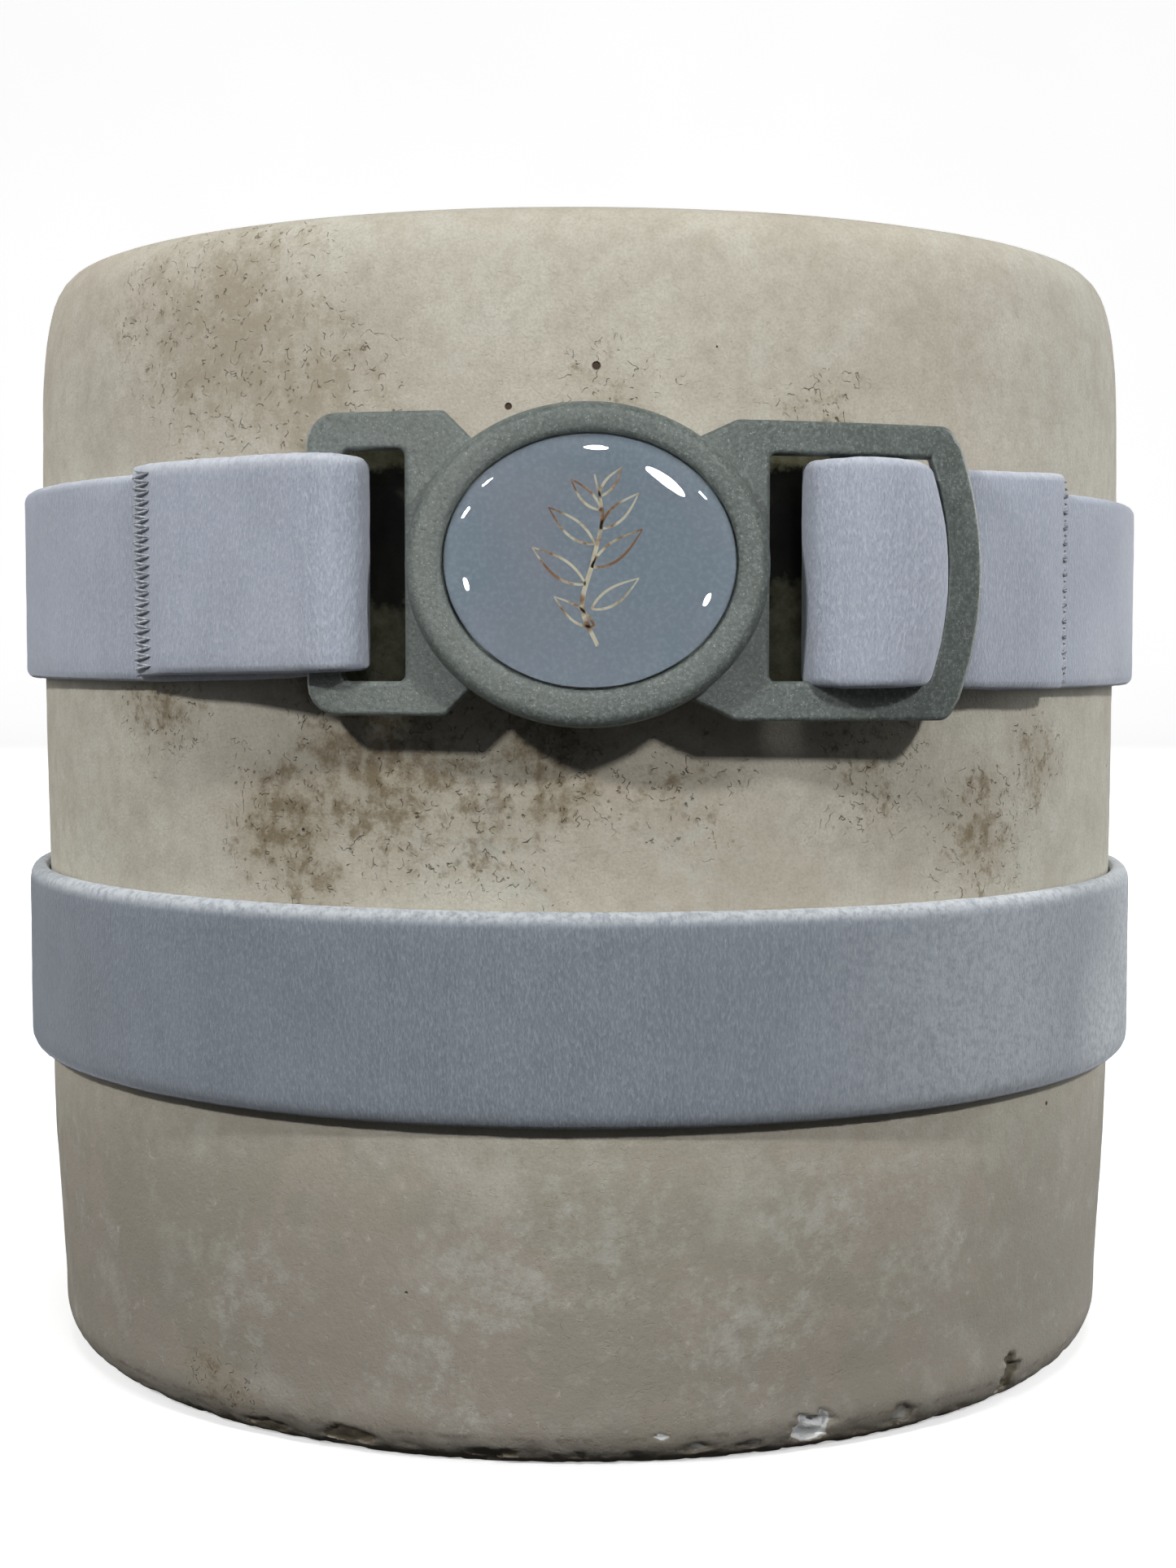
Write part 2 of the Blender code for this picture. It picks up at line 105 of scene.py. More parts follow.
# Broken spots on the bottom edge, as (degrees, height, half width, half height, depth, whiteness)
CHIPS = [
    (47.9, 0.0050, 0.0021, 0.0028, 0.0016, 0.10),
    (32.3, 0.0038, 0.0020, 0.0016, 0.0010, 0.36),
    (22.1, 0.0042, 0.0030, 0.0021, 0.0014, 1.00),
    (16.3, 0.0024, 0.0020, 0.0008, 0.0006, 0.34),
    (11.0, 0.0028, 0.0017, 0.0008, 0.0006, 0.36),
    (7.7, 0.0049, 0.0014, 0.0005, 0.0003, 1.00),
    (0.2, 0.0018, 0.0010, 0.0007, 0.0005, 0.30),
    (-8.0, 0.0020, 0.0040, 0.0009, 0.0007, 0.05),
    (-22.0, 0.0030, 0.0044, 0.0013, 0.0008, 0.05),
    (-31.0, 0.0022, 0.0030, 0.0010, 0.0007, 0.10),
    (104.0, 0.0040, 0.0030, 0.0024, 0.0014, 0.80),
    (171.0, 0.0030, 0.0026, 0.0016, 0.0010, 0.60),
    (-128.0, 0.0046, 0.0034, 0.0026, 0.0016, 0.30),
]

# Air bubbles that opened on the outside, as (degrees, height, radius)
PINHOLES = [
    (27.6, 0.1716, 0.00030), (0.8, 0.1645, 0.00026), (1.6, 0.1529, 0.00050), (17.3, 0.1594, 0.00034),
    (-5.9, 0.1475, 0.00040), (-38.6, 0.1568, 0.00026), (-25.1, 0.0895, 0.00036), (-28.9, 0.0821, 0.00030),
    (-1.3, 0.1584, 0.00022), (12.0, 0.1557, 0.00022), (4.9, 0.0829, 0.00028), (23.7, 0.0803, 0.00026),
    (26.0, 0.0802, 0.00026), (39.6, 0.0791, 0.00024),
]

# ---------------------------------------------------------------- belt sizes

THICKNESS = 0.0027
WALL_BELT_RADIUS = 0.0926   # of the upper webbing's middle, where it lies on the wall
LOWER_BELT_RADIUS = 0.0922
LAYER = THICKNESS + GAP
LAP_DEGREES = 8.0
SPLIT_DEGREES = 82.0        # where the left front stretch of the upper belt is joined on
BELT_SPACING = 0.0011
BELT_OUTSIDE = WALL_BELT_RADIUS + 0.0012
INNER_EASE = 0.0012         # rounding of the webbing's long edges, inside and outside
OUTER_EASE = 0.0014
LOWER_OUTER_EASE = 0.0024
LOWER_SWELL = 0.0003        # the lower belt is this much thicker outwards
STITCH_STEPS = 6
STITCH_SINK = 0.0003        # how deep a stitch's ends are pulled into the nap
STITCH_RISE = 0.00045
DOUBLE = WALL_BELT_RADIUS + LAYER

# ---------------------------------------------------------------- clasp sizes

FRAME_INNER = 0.1110
FRAME_OUTER = 0.1147
TONGUE_INNER = 0.1112
TONGUE_OUTER = 0.1128
BAR_OUTER = 0.1135
SOCKET_INNER = 0.1091
SOCKET_OUTER = 0.1145
STRIP_WIDTH = 0.0012
OVAL_STEPS = 144
DOME_RINGS = 72
FRAME_EASE = 0.0006         # rounding of the clasp frames' edges
DOME_RIM = 0.0004           # height of the dome's upright rim
DOME_BOND = 0.00025         # from the plate's face down to the dome's underside


# ---------------------------------------------------------------- small tools

def new_object(name, vertices, faces):
    mesh = bpy.data.meshes.new(name)
    mesh.from_pydata([tuple(v) for v in vertices], [], faces)
    mesh.update()
    obj = bpy.data.objects.new(name, mesh)
    bpy.context.scene.collection.objects.link(obj)
    return obj


def close_up(obj, sharp_degrees=35.0):
    """Turn every face outward and shade the mesh smooth, apart from its sharp edges."""
    bm = bmesh.new()
    bm.from_mesh(obj.data)
    bmesh.ops.recalc_face_normals(bm, faces=bm.faces)
    bm.to_mesh(obj.data)
    bm.free()
    obj.data.shade_smooth()
    obj.data.set_sharp_from_angle(angle=math.radians(sharp_degrees))
    return obj


def smooth_step(low, high, value):
    t = min(1.0, max(0.0, (value - low) / (high - low)))
    return t * t * (3 - 2 * t)


def round_noise(x, y, z, size, seed=0.0):
    """Soft noise from about -1 to 1, with features of the given size in metres."""
    return noise.noise(Vector((x / size + seed, y / size, z / size)))


def on_mold(degrees, radius):
    angle = math.radians(degrees)
    return (radius * math.sin(angle), -radius * math.cos(angle))


def smooth_line(points, spacing):
    """Even points along a centripetal Catmull-Rom curve. Points may have any number of parts,
    and the first two are their place. The spacing is a length, or a function of a point."""
    first = tuple(2 * a - b for a, b in zip(points[0], points[1]))
    last = tuple(2 * a - b for a, b in zip(points[-1], points[-2]))
    chain = [first] + list(points) + [last]
    line = [tuple(points[0])]
    for a, b, c, d in zip(chain, chain[1:], chain[2:], chain[3:]):
        knots = [0.0]
        for start, end in ((a, b), (b, c), (c, d)):
            knots.append(knots[-1] + max(1e-6, math.sqrt(math.dist(start[:2], end[:2]))))
        gap = spacing(b, c) if callable(spacing) else spacing
        steps = max(1, round(math.dist(b[:2], c[:2]) / gap))
        for step in range(1, steps + 1):
            t = knots[1] + (knots[2] - knots[1]) * step / steps
            line.append(tuple(catmull_rom(t, knots, parts) for parts in zip(a, b, c, d)))
    return line


def catmull_rom(t, knots, values):
    def between(low, high, first, second):
        return first + (second - first) * (t - low) / (high - low)
    k0, k1, k2, k3 = knots
    ab = between(k0, k1, values[0], values[1])
    bc = between(k1, k2, values[1], values[2])
    cd = between(k2, k3, values[2], values[3])
    return between(k1, k2, between(k0, k2, ab, bc), between(k1, k3, bc, cd))


def straight_rows(start, end, count):
    """Points from start to end, with start left out."""
    rows = []
    for step in range(1, count + 1):
        rows.append(tuple(a + (b - a) * step / count for a, b in zip(start, end)))
    return rows


def add_values(obj, name, values):
    """Keep one number at each point of a mesh, for its material to read."""
    obj.data.attributes.new(name, "FLOAT", "POINT").data.foreach_set("value", values)


def closed_faces(rings, steps):
    """Faces of a turned piece: a first point, rings of points, and a last point."""
    last = 1 + rings * steps
    faces = []
    for step in range(steps):
        after = (step + 1) % steps
        faces.append((0, 1 + step, 1 + after))
        for ring in range(rings - 1):
            a = 1 + ring * steps
            faces.append((a + step, a + steps + step, a + steps + after, a + after))
        a = 1 + (rings - 1) * steps
        faces.append((last, a + after, a + step))
    return faces


def give(obj, material):
    obj.data.materials.clear()
    obj.data.materials.append(material)
    return obj


def settle(obj, material, node, body):
    """Give a piece its material, and put it on a body in place of a CAD node."""
    give(obj, material)
    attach(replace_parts(obj, node), body)


# ---------------------------------------------------------------- materials

class Nodes:
    """Short ways to build one material's node tree."""

    def __init__(self, name):
        self.material = bpy.data.materials.new(name)
        self.material.use_nodes = True
        self.tree = self.material.node_tree
        self.shader = self.tree.nodes["Principled BSDF"]
        self.place = self.add("TexCoord").outputs["Object"]

    def put(self, value, socket):
        """Link a node's output to a socket, or set the socket's own value."""
        if hasattr(value, "links"):
            self.tree.links.new(value, socket)
        else:
            socket.default_value = value

    def add(self, kind, settings=None, **inputs):
        """A new node with these settings, and these values at its named inputs."""
        node = self.tree.nodes.new("ShaderNode" + kind)
        for name, value in (settings or {}).items():
            setattr(node, name, value)
        for name, value in inputs.items():
            self.put(value, node.inputs[name.replace("_", " ")])
        return node

    def set(self, **values):
        """Put values at the shader's own inputs."""
        for name, value in values.items():
            self.put(value, self.shader.inputs[name.replace("_", " ")])

    def attribute(self, name, output="Fac"):
        return self.add("Attribute", {"attribute_name": name}).outputs[output]

    def stretched(self, source, scale, rotation=(0.0, 0.0, 0.0), location=(0.0, 0.0, 0.0)):
        node = self.add("Mapping", Vector=source, Scale=scale, Rotation=rotation, Location=location)
        return node.outputs["Vector"]

    def noise(self, scale, detail=3.0, roughness=0.55, source=None, output="Fac"):
        source = source or self.place
        node = self.add("TexNoise", Vector=source, Scale=scale, Detail=detail, Roughness=roughness)
        return node.outputs[output]

    def cells(self, scale, output="Distance"):
        return self.add("TexVoronoi", Vector=self.place, Scale=scale).outputs[output]

    def ramp(self, value, low, high, start=0.0, end=1.0, smooth=True):
        """Turn low..high of a value into start..end, and hold it outside."""
        node = self.add(
            "MapRange", {"interpolation_type": "SMOOTHSTEP" if smooth else "LINEAR"},
            Value=value, From_Min=low, From_Max=high, To_Min=start, To_Max=end,
        )
        return node.outputs["Result"]

    def calculate(self, kind, operation, terms, output):
        node = self.add(kind, {"operation": operation})
        for term, socket in zip(terms, node.inputs):
            self.put(term, socket)
        return node.outputs[output]

    def math(self, operation, *terms):
        return self.calculate("Math", operation, terms, "Value")

    def vector(self, operation, *terms, output="Vector"):
        return self.calculate("VectorMath", operation, terms, output)

    def times(self, *values):
        result = values[0]
        for value in values[1:]:
            result = self.math("MULTIPLY", result, value)
        return result

    def strongest(self, values):
        result = values[0]
        for value in values[1:]:
            result = self.math("MAXIMUM", result, value)
        return result

    def part(self, source, axis):
        return self.add("SeparateXYZ", Vector=source).outputs[axis]

    def mix(self, amount, first, second):
        node = self.add("Mix", {"data_type": "RGBA"}, Factor=amount)
        for value, socket in ((first, node.inputs[6]), (second, node.inputs[7])):
            self.put(value if hasattr(value, "links") else (*value, 1.0), socket)
        return node.outputs[2]

    def near(self, point, radius, source=None):
        """1 at a point and 0 beyond a radius."""
        away = self.vector("SUBTRACT", source or self.place, point)
        return self.ramp(self.vector("LENGTH", away, output="Value"), 0.0, radius, 1.0, 0.0)

    def bump(self, height, distance, strength=1.0, normal=None):
        node = self.add("Bump", Height=height, Distance=distance, Strength=strength)
        if normal is not None:
            self.put(normal, node.inputs["Normal"])
        return node.outputs["Normal"]

    def finish(self, colour, roughness, normal=None):
        self.set(Base_Color=colour, Roughness=roughness)
        if normal is not None:
            self.set(Normal=normal)
        return self.material


def wall_point(degrees, height, radius=0.0910):
    x, y = on_mold(degrees, radius)
    return (x, y, height)


# Patches on the wall, as (degrees, height, radius, strength)
TAN_PATCHES = [(-33.0, 0.1590, 0.026, 1.00), (-24.0, 0.1500, 0.018, 0.90), (-44.0, 0.1640, 0.016, 0.55)]
MOULD_PATCHES = [
    (-17.0, 0.0985, 0.024, 1.00), (-26.0, 0.0900, 0.018, 0.95), (-3.0, 0.1005, 0.018, 0.95),
    (-8.0, 0.0900, 0.016, 0.70), (9.0, 0.0960, 0.014, 0.60), (27.0, 0.0980, 0.016, 0.50),
    (40.0, 0.0880, 0.016, 0.75), (49.0, 0.0990, 0.012, 0.60), (33.0, 0.1130, 0.012, 0.60),
    (-42.0, 0.1080, 0.014, 0.70), (4.0, 0.1475, 0.012, 0.60), (22.0, 0.1480, 0.010, 0.45),
    (-37.0, 0.0065, 0.012, 0.60), (150.0, 0.0920, 0.020, 0.80), (-115.0, 0.1580, 0.018, 0.70),
    (-95.0, 0.0950, 0.014, 0.60), (100.0, 0.0300, 0.018, 0.50), (-150.0, 0.1600, 0.020, 0.70),
]
BLOOM_PATCHES = [
    (2.0, 0.0330, 0.022, 0.80), (22.0, 0.0360, 0.020, 1.00), (14.0, 0.0210, 0.022, 0.85),
    (34.0, 0.0270, 0.018, 0.70), (-33.0, 0.0220, 0.018, 0.80), (-8.0, 0.0850, 0.016, 0.90),
    (-8.0, 0.0280, 0.020, 1.00), (-14.0, 0.0150, 0.014, 0.90), (-36.0, 0.0450, 0.012, 0.60),
    (10.0, 0.0860, 0.014, 0.80), (32.0, 0.0420, 0.016, 0.70), (160.0, 0.1500, 0.030, 0.70),
    (-150.0, 0.0300, 0.030, 0.70), (95.0, 0.0900, 0.026, 0.60),
]


WARP = 0.018                          # how far the patches' outlines wander, in all
SLOT_SHADOW_X = (-0.0280, 0.0295)            # across, where shadow is painted on the wall behind the two slots
SLOT_SHADOW_Z = (0.1095, 0.1225, 0.1408, 0.1446)     # bottom, painted black shadow from and to, top


def patch_mask(n, patches, source):
    """The strongest of several soft patches at each point."""
    return n.strongest([
        n.times(n.near(wall_point(degrees, z), radius, source), strength)
        for degrees, z, radius, strength in patches
    ])


def plaster_material():
    """Old cast plaster: mottled beige, with stains, mould, powdery bloom, pits and dirt, and painted shade
    low down, on the right, in the holes and behind the clasp's slots.
    """
    n = Nodes("plaster")
    height = n.part(n.place, "Z")
    wander = n.noise(120.0, 5.0, 0.6, output="Color")
    warped = n.vector("MULTIPLY_ADD", wander, (WARP, WARP, WARP), n.place)
    warped = n.vector("SUBTRACT", warped, (WARP / 2, WARP / 2, WARP / 2))

    # slow changes over the wall: paler above, darker low down as painted shade, a lacy edge between two tones
    drift = n.noise(16.0, 2.0)
    colour = n.mix(n.ramp(drift, 0.30, 0.70), (0.600, 0.580, 0.490), (0.560, 0.515, 0.430))
    tone = n.ramp(n.noise(26.0, 9.0, 0.68), 0.485, 0.525)
    colour = n.mix(n.times(tone, 0.30), colour, (0.490, 0.450, 0.375))
    # painted shade: darker low down, and darker still towards the bottom, where the light falls off
    low = n.ramp(height, 0.034, 0.058, 1.0, 0.0)
    lower = n.mix(tone, (0.392, 0.352, 0.300), (0.356, 0.334, 0.276))
    lower = n.mix(n.ramp(height, 0.006, 0.040, 0.62, 0.0, False), lower, (0.262, 0.238, 0.206))
    colour = n.mix(low, colour, lower)
    # painted shade: darker and greyer towards the right
    side = n.ramp(n.part(n.place, "X"), 0.040, 0.085)
    colour = n.mix(n.times(side, 0.30), colour, (0.420, 0.428, 0.405))

    # mottling from centimetres down to grains
    mottle = n.noise(85.0, 8.0, 0.66)
    colour = n.mix(n.ramp(mottle, 0.42, 0.66, 0.0, 0.30), colour, (0.380, 0.335, 0.265))
    colour = n.mix(n.ramp(mottle, 0.34, 0.50, 0.22, 0.0), colour, (0.640, 0.635, 0.560))
    fine = n.noise(420.0, 6.0, 0.70)
    colour = n.mix(n.ramp(fine, 0.42, 0.70, 0.0, 0.26), colour, (0.330, 0.290, 0.225))
    colour = n.mix(n.ramp(fine, 0.26, 0.42, 0.35, 0.0), colour, (0.690, 0.680, 0.610))
    grain = n.noise(2600.0, 2.0)
    colour = n.mix(n.ramp(grain, 0.35, 0.75, 0.0, 0.30), colour, (0.300, 0.265, 0.205))

    # tan patch, worn open into pits, high on the left
    lace = n.noise(330.0, 9.0, 0.74)
    tan = patch_mask(n, TAN_PATCHES, warped)
    tan_lace = n.ramp(n.math("ADD", lace, n.times(tan, 0.22)), 0.54, 0.74)
    colour = n.mix(n.times(n.ramp(tan, 0.0, 0.8), 0.40), colour, (0.400, 0.350, 0.270))
    colour = n.mix(n.times(tan_lace, n.ramp(tan, 0.02, 0.20), 0.62), colour, (0.335, 0.285, 0.205))

    # brown mould under the clasp and in smaller patches
    mould = patch_mask(n, MOULD_PATCHES, warped)
    mould_lace = n.ramp(n.math("ADD", lace, n.times(mould, 0.22)), 0.57, 0.80)
    colour = n.mix(n.times(n.ramp(mould, 0.0, 0.9), 0.55), colour, (0.345, 0.300, 0.215))
    colour = n.mix(n.times(mould_lace, n.ramp(mould, 0.02, 0.25), 0.80), colour, (0.175, 0.130, 0.070))

    # painted shadow on the wall behind the clasp's slots: nearly black above, dim olive shade below
    fringe = n.times(lace, 0.0060)
    spots = []
    for middle in SLOT_SHADOW_X:
        across = n.math("ABSOLUTE", n.math("SUBTRACT", n.part(warped, "X"), middle))
        spots.append(n.ramp(n.math("ADD", across, fringe), 0.0098, 0.0140, 1.0, 0.0))
    slot_shadow = n.times(n.strongest(spots), n.ramp(n.part(warped, "Y"), -0.06, -0.05, 1.0, 0.0))
    ragged = n.math("ADD", height, n.times(lace, 0.0040))
    slot_shadow = n.times(slot_shadow, n.ramp(ragged, SLOT_SHADOW_Z[0], SLOT_SHADOW_Z[0] + 0.0018))
    slot_shadow = n.times(slot_shadow, n.ramp(ragged, SLOT_SHADOW_Z[3], SLOT_SHADOW_Z[3] + 0.0016, 1.0, 0.0))
    shadow_black = n.ramp(n.part(warped, "Z"), SLOT_SHADOW_Z[1] - 0.0010, SLOT_SHADOW_Z[1] + 0.0010)
    shadow_black = n.times(shadow_black, n.ramp(ragged, SLOT_SHADOW_Z[2], SLOT_SHADOW_Z[2] + 0.0012, 1.0, 0.0))
    shadow_black = n.times(shadow_black, n.ramp(slot_shadow, 0.5, 1.0))
    shade_olive = n.mix(n.ramp(lace, 0.35, 0.65), (0.110, 0.108, 0.058), (0.230, 0.225, 0.150))
    colour = n.mix(n.times(slot_shadow, 0.97), colour, n.mix(shadow_black, shade_olive, (0.006, 0.006, 0.004)))

    # powdery white bloom, mostly low down on the right
    powder = n.noise(300.0, 9.0, 0.76)
    bloom = patch_mask(n, BLOOM_PATCHES, warped)
    powder = n.ramp(n.math("ADD", powder, n.times(bloom, 0.18)), 0.55, 0.80)
    colour = n.mix(n.times(powder, n.ramp(bloom, 0.02, 0.30), 0.46), colour, (0.545, 0.560, 0.505))

    # short worn scratches in the tan patch and the mould
    lines = n.math("ABSOLUTE", n.math("SUBTRACT", n.noise(430.0, 2.0, 0.5), 0.5))
    scratches = n.times(n.ramp(lines, 0.004, 0.016, 1.0, 0.0), n.ramp(n.noise(820.0, 2.0, 0.5), 0.52, 0.60))
    worn = n.ramp(n.math("MAXIMUM", tan, mould), 0.02, 0.35, 0.10, 1.0)
    colour = n.mix(n.times(scratches, worn, 0.55), colour, (0.200, 0.160, 0.105))

    # bubbles, pits and specks; the holes and pits are painted dark as shade
    pit_odds = n.part(n.cells(210.0, "Color"), "X")
    pits = n.times(n.ramp(n.cells(210.0), 0.045, 0.085, 1.0, 0.0), n.ramp(pit_odds, 0.975, 0.980))
    speck_odds = n.part(n.cells(700.0, "Color"), "X")
    specks = n.times(n.ramp(n.cells(700.0), 0.10, 0.26, 1.0, 0.0), n.ramp(speck_odds, 0.86, 0.90))
    specks = n.times(specks, n.ramp(n.math("MAXIMUM", n.times(tan, 0.3), mould), 0.0, 0.40, 0.10, 1.0))
    shaded_holes = n.strongest([n.near(wall_point(degrees, z), radius * 2.2) for degrees, z, radius in PINHOLES])
    shaded_holes = n.math("MAXIMUM", n.ramp(shaded_holes, 0.35, 0.65), pits)
    # painted shade: the holes and pits are coloured nearly black
    colour = n.mix(n.times(specks, 0.75), colour, (0.140, 0.100, 0.055))
    colour = n.mix(n.times(shaded_holes, 0.94), colour, (0.045, 0.022, 0.010))

    # dirt along the bottom edge, and fresh plaster where it is chipped
    edge_noise = n.noise(600.0, 6.0, 0.75)
    edge = n.ramp(n.math("ADD", height, n.times(edge_noise, -0.0070)), -0.0032, -0.0006, 1.0, 0.0)
    colour = n.mix(n.times(edge, 0.80), colour, (0.125, 0.092, 0.058))
    level = n.math("ABSOLUTE", n.math("SUBTRACT", height, 0.0046))
    stripe = n.times(n.ramp(level, 0.0, 0.0007, 1.0, 0.0), n.ramp(fine, 0.40, 0.55, 0.55, 0.0))
    colour = n.mix(stripe, colour, (0.150, 0.125, 0.090))
    fresh = n.attribute("fresh")
    colour = n.mix(n.ramp(fresh, 0.25, 0.60), colour, (0.780, 0.790, 0.790))
    broken = n.attribute("broken")
    aged = n.times(n.ramp(broken, 0.20, 0.60), n.ramp(fresh, 0.0, 0.4, 0.80, 0.0))
    colour = n.mix(aged, colour, (0.130, 0.105, 0.062))

    bump = n.bump(n.noise(1500.0, 4.0, 0.7), 0.00016, 0.7)
    bump = n.bump(lace, 0.00022, 0.5, bump)
    bump = n.bump(n.math("ADD", shaded_holes, n.times(scratches, worn, 0.4)), -0.00070, 1.0, bump)
    n.set(Specular_IOR_Level=0.25)
    return n.finish(colour, n.ramp(fine, 0.2, 0.8, 0.80, 0.95), bump)


def webbing_material(name, base, light, worn, worn_and_sheen_spots):
    """Elastic webbing with a short brushed nap: slanting fibres, with painted glints, a painted highlight
    along the top edge, and worn spots that are partly painted sheen.
    """
    n = Nodes(name)
    cloth = n.attribute("cloth", "Vector")
    across = n.part(cloth, "Y")
    slant = n.stretched(cloth, (3000.0, 800.0, 1.0), (0.0, 0.0, math.radians(-38.0)))
    slant_fine = n.stretched(cloth, (5600.0, 1700.0, 1.0), (0.0, 0.0, math.radians(-46.0)), (3.1, 7.7, 0.0))
    hairs = n.noise(1.0, 3.0, 0.6, slant)
    fine_hairs = n.noise(1.0, 2.0, 0.6, slant_fine)
    ribs = n.noise(1.0, 1.0, 0.5, n.stretched(cloth, (1500.0, 60.0, 1.0)))
    clouds = n.noise(90.0, 4.0, 0.6)
    speck = n.noise(900.0, 3.0, 0.7)

    colour = n.mix(n.ramp(clouds, 0.32, 0.68), base, tuple(c * 0.88 for c in base))
    colour = n.mix(n.ramp(hairs, 0.42, 0.68, 0.0, 0.52), colour, light)
    colour = n.mix(n.ramp(fine_hairs, 0.34, 0.56, 0.42, 0.0), colour, tuple(c * 0.60 for c in base))
    colour = n.mix(n.ramp(ribs, 0.35, 0.70, 0.0, 0.12), colour, light)
    # painted highlight along the top edge, on paler worn fuzz that catches the light from above
    rim = n.ramp(across, 0.0130, 0.0149)
    colour = n.mix(n.times(rim, n.ramp(speck, 0.30, 0.62, 0.35, 0.95), 0.75), colour, worn)
    # painted glints: pale flecks on the fibres
    painted_glint = n.times(n.ramp(fine_hairs, 0.66, 0.74), n.ramp(speck, 0.52, 0.66))
    colour = n.mix(n.times(painted_glint, 0.55), colour, (0.800, 0.840, 0.860))
    # paler worn spots, partly painted sheen where the cloth turns away at the far right
    rub_and_sheen = n.strongest([
        n.times(n.near(wall_point(degrees, z, BELT_OUTSIDE), radius), amount)
        for degrees, z, radius, amount in worn_and_sheen_spots
    ])
    colour = n.mix(n.times(rub_and_sheen, n.ramp(speck, 0.30, 0.66, 0.30, 0.95)), colour, worn)

    bump = n.bump(hairs, 0.00022, 0.75)
    bump = n.bump(fine_hairs, 0.00012, 0.6, bump)
    bump = n.bump(clouds, 0.00040, 0.35, bump)
    n.set(Specular_IOR_Level=0.25, Sheen_Weight=0.45, Sheen_Roughness=0.45)
    n.set(Sheen_Tint=(0.86, 0.90, 1.0, 1.0))
    return n.finish(colour, n.ramp(fine_hairs, 0.3, 0.7, 0.72, 0.92), bump)


def thread_material(name, colour):
    n = Nodes(name)
    twist = n.noise(1400.0, 2.0, 0.5)
    shade = n.mix(n.ramp(twist, 0.35, 0.65), colour, tuple(c * 0.5 for c in colour))
    n.set(Sheen_Weight=0.2)
    return n.finish(shade, n.ramp(twist, 0.3, 0.7, 0.55, 0.80), n.bump(twist, 0.00010, 0.7))


def clasp_material():
    """Moulded grey-green plastic with fine pearl flecks in it."""
    n = Nodes("clasp_plastic")
    clouds = n.noise(160.0, 4.0, 0.6)
    colour = n.mix(n.ramp(clouds, 0.30, 0.70), (0.098, 0.118, 0.106), (0.122, 0.144, 0.131))
    # painted light: the plastic is paler towards the left
    colour = n.mix(n.ramp(n.part(n.place, "X"), -0.045, 0.010, 0.60, 0.0), colour, (0.200, 0.222, 0.206))
    mottle = n.noise(1700.0, 5.0, 0.72)
    colour = n.mix(n.ramp(mottle, 0.47, 0.68, 0.0, 0.75), colour, (0.235, 0.262, 0.246))
    colour = n.mix(n.ramp(mottle, 0.30, 0.48, 0.60, 0.0), colour, (0.046, 0.058, 0.047))
    fleck_odds = n.part(n.cells(3400.0, "Color"), "X")
    flecks = n.times(n.ramp(n.cells(3400.0), 0.15, 0.45, 1.0, 0.0), n.ramp(fleck_odds, 0.84, 0.90))
    colour = n.mix(n.times(flecks, 0.60), colour, (0.420, 0.450, 0.440))
    grain = n.noise(2400.0, 3.0, 0.6)
    bump = n.bump(grain, 0.00008, 0.6)
    bump = n.bump(mottle, 0.00016, 0.5, bump)
    rough = n.math("SUBTRACT", n.ramp(mottle, 0.3, 0.7, 0.36, 0.52), n.times(flecks, 0.18))
    n.set(Specular_IOR_Level=0.55)
    return n.finish(colour, rough, bump)


def badge_material():
    """Pearly printed ground of the badge."""
    n = Nodes("badge_print")
    clouds = n.noise(60.0, 3.0, 0.6)
    fine = n.noise(1600.0, 3.0, 0.6)
    colour = n.mix(n.ramp(clouds, 0.32, 0.68), (0.158, 0.194, 0.226), (0.186, 0.200, 0.232))
    colour = n.mix(n.ramp(fine, 0.40, 0.72, 0.0, 0.55), colour, (0.236, 0.270, 0.298))
    n.set(Metallic=0.10, Specular_IOR_Level=0.15)
    return n.finish(colour, n.ramp(fine, 0.3, 0.7, 0.50, 0.65), n.bump(fine, 0.00002, 0.2))


def sprig_material():
    n = Nodes("sprig_ink")
    tone = n.noise(320.0, 3.0, 0.6)
    colour = n.mix(n.ramp(tone, 0.40, 0.62), (0.480, 0.430, 0.310), (0.150, 0.060, 0.012))
    n.set(Metallic=0.25)
    return n.finish(colour, n.ramp(tone, 0.3, 0.7, 0.35, 0.50))


def dome_material():
    """Clear resin with the least haze in it."""
    n = Nodes("badge_resin")
    haze = n.noise(500.0, 3.0, 0.6)
    colour = n.mix(n.ramp(haze, 0.3, 0.7), (0.90, 0.94, 0.97), (0.94, 0.97, 0.99))
    n.set(Transmission_Weight=1.0, IOR=1.49, Specular_IOR_Level=0.5)
    return n.finish(colour, n.ramp(haze, 0.3, 0.7, 0.010, 0.022))


def key_material(name, colour):
    """Moulded plastic of the keys in the parting faces, dusty with plaster."""
    n = Nodes(name)
    dust = n.noise(420.0, 4.0, 0.65)
    shade = n.mix(n.ramp(dust, 0.45, 0.70, 0.0, 0.65), colour, (0.620, 0.590, 0.520))
    return n.finish(shade, n.ramp(dust, 0.3, 0.7, 0.38, 0.75), n.bump(dust, 0.00008, 0.5))


# ---------------------------------------------------------------- plaster pieces

def turned_points(node):
    """The (radius, height) points that a turned CAD node was made from, off its parting face."""
    found = set()
    for vertex in NODES[node].data.vertices:
        if abs(vertex.co.y) > PARTING_BAND:
            found.add((round(math.hypot(vertex.co.x, vertex.co.y), 4), round(vertex.co.z, 4)))
    return found


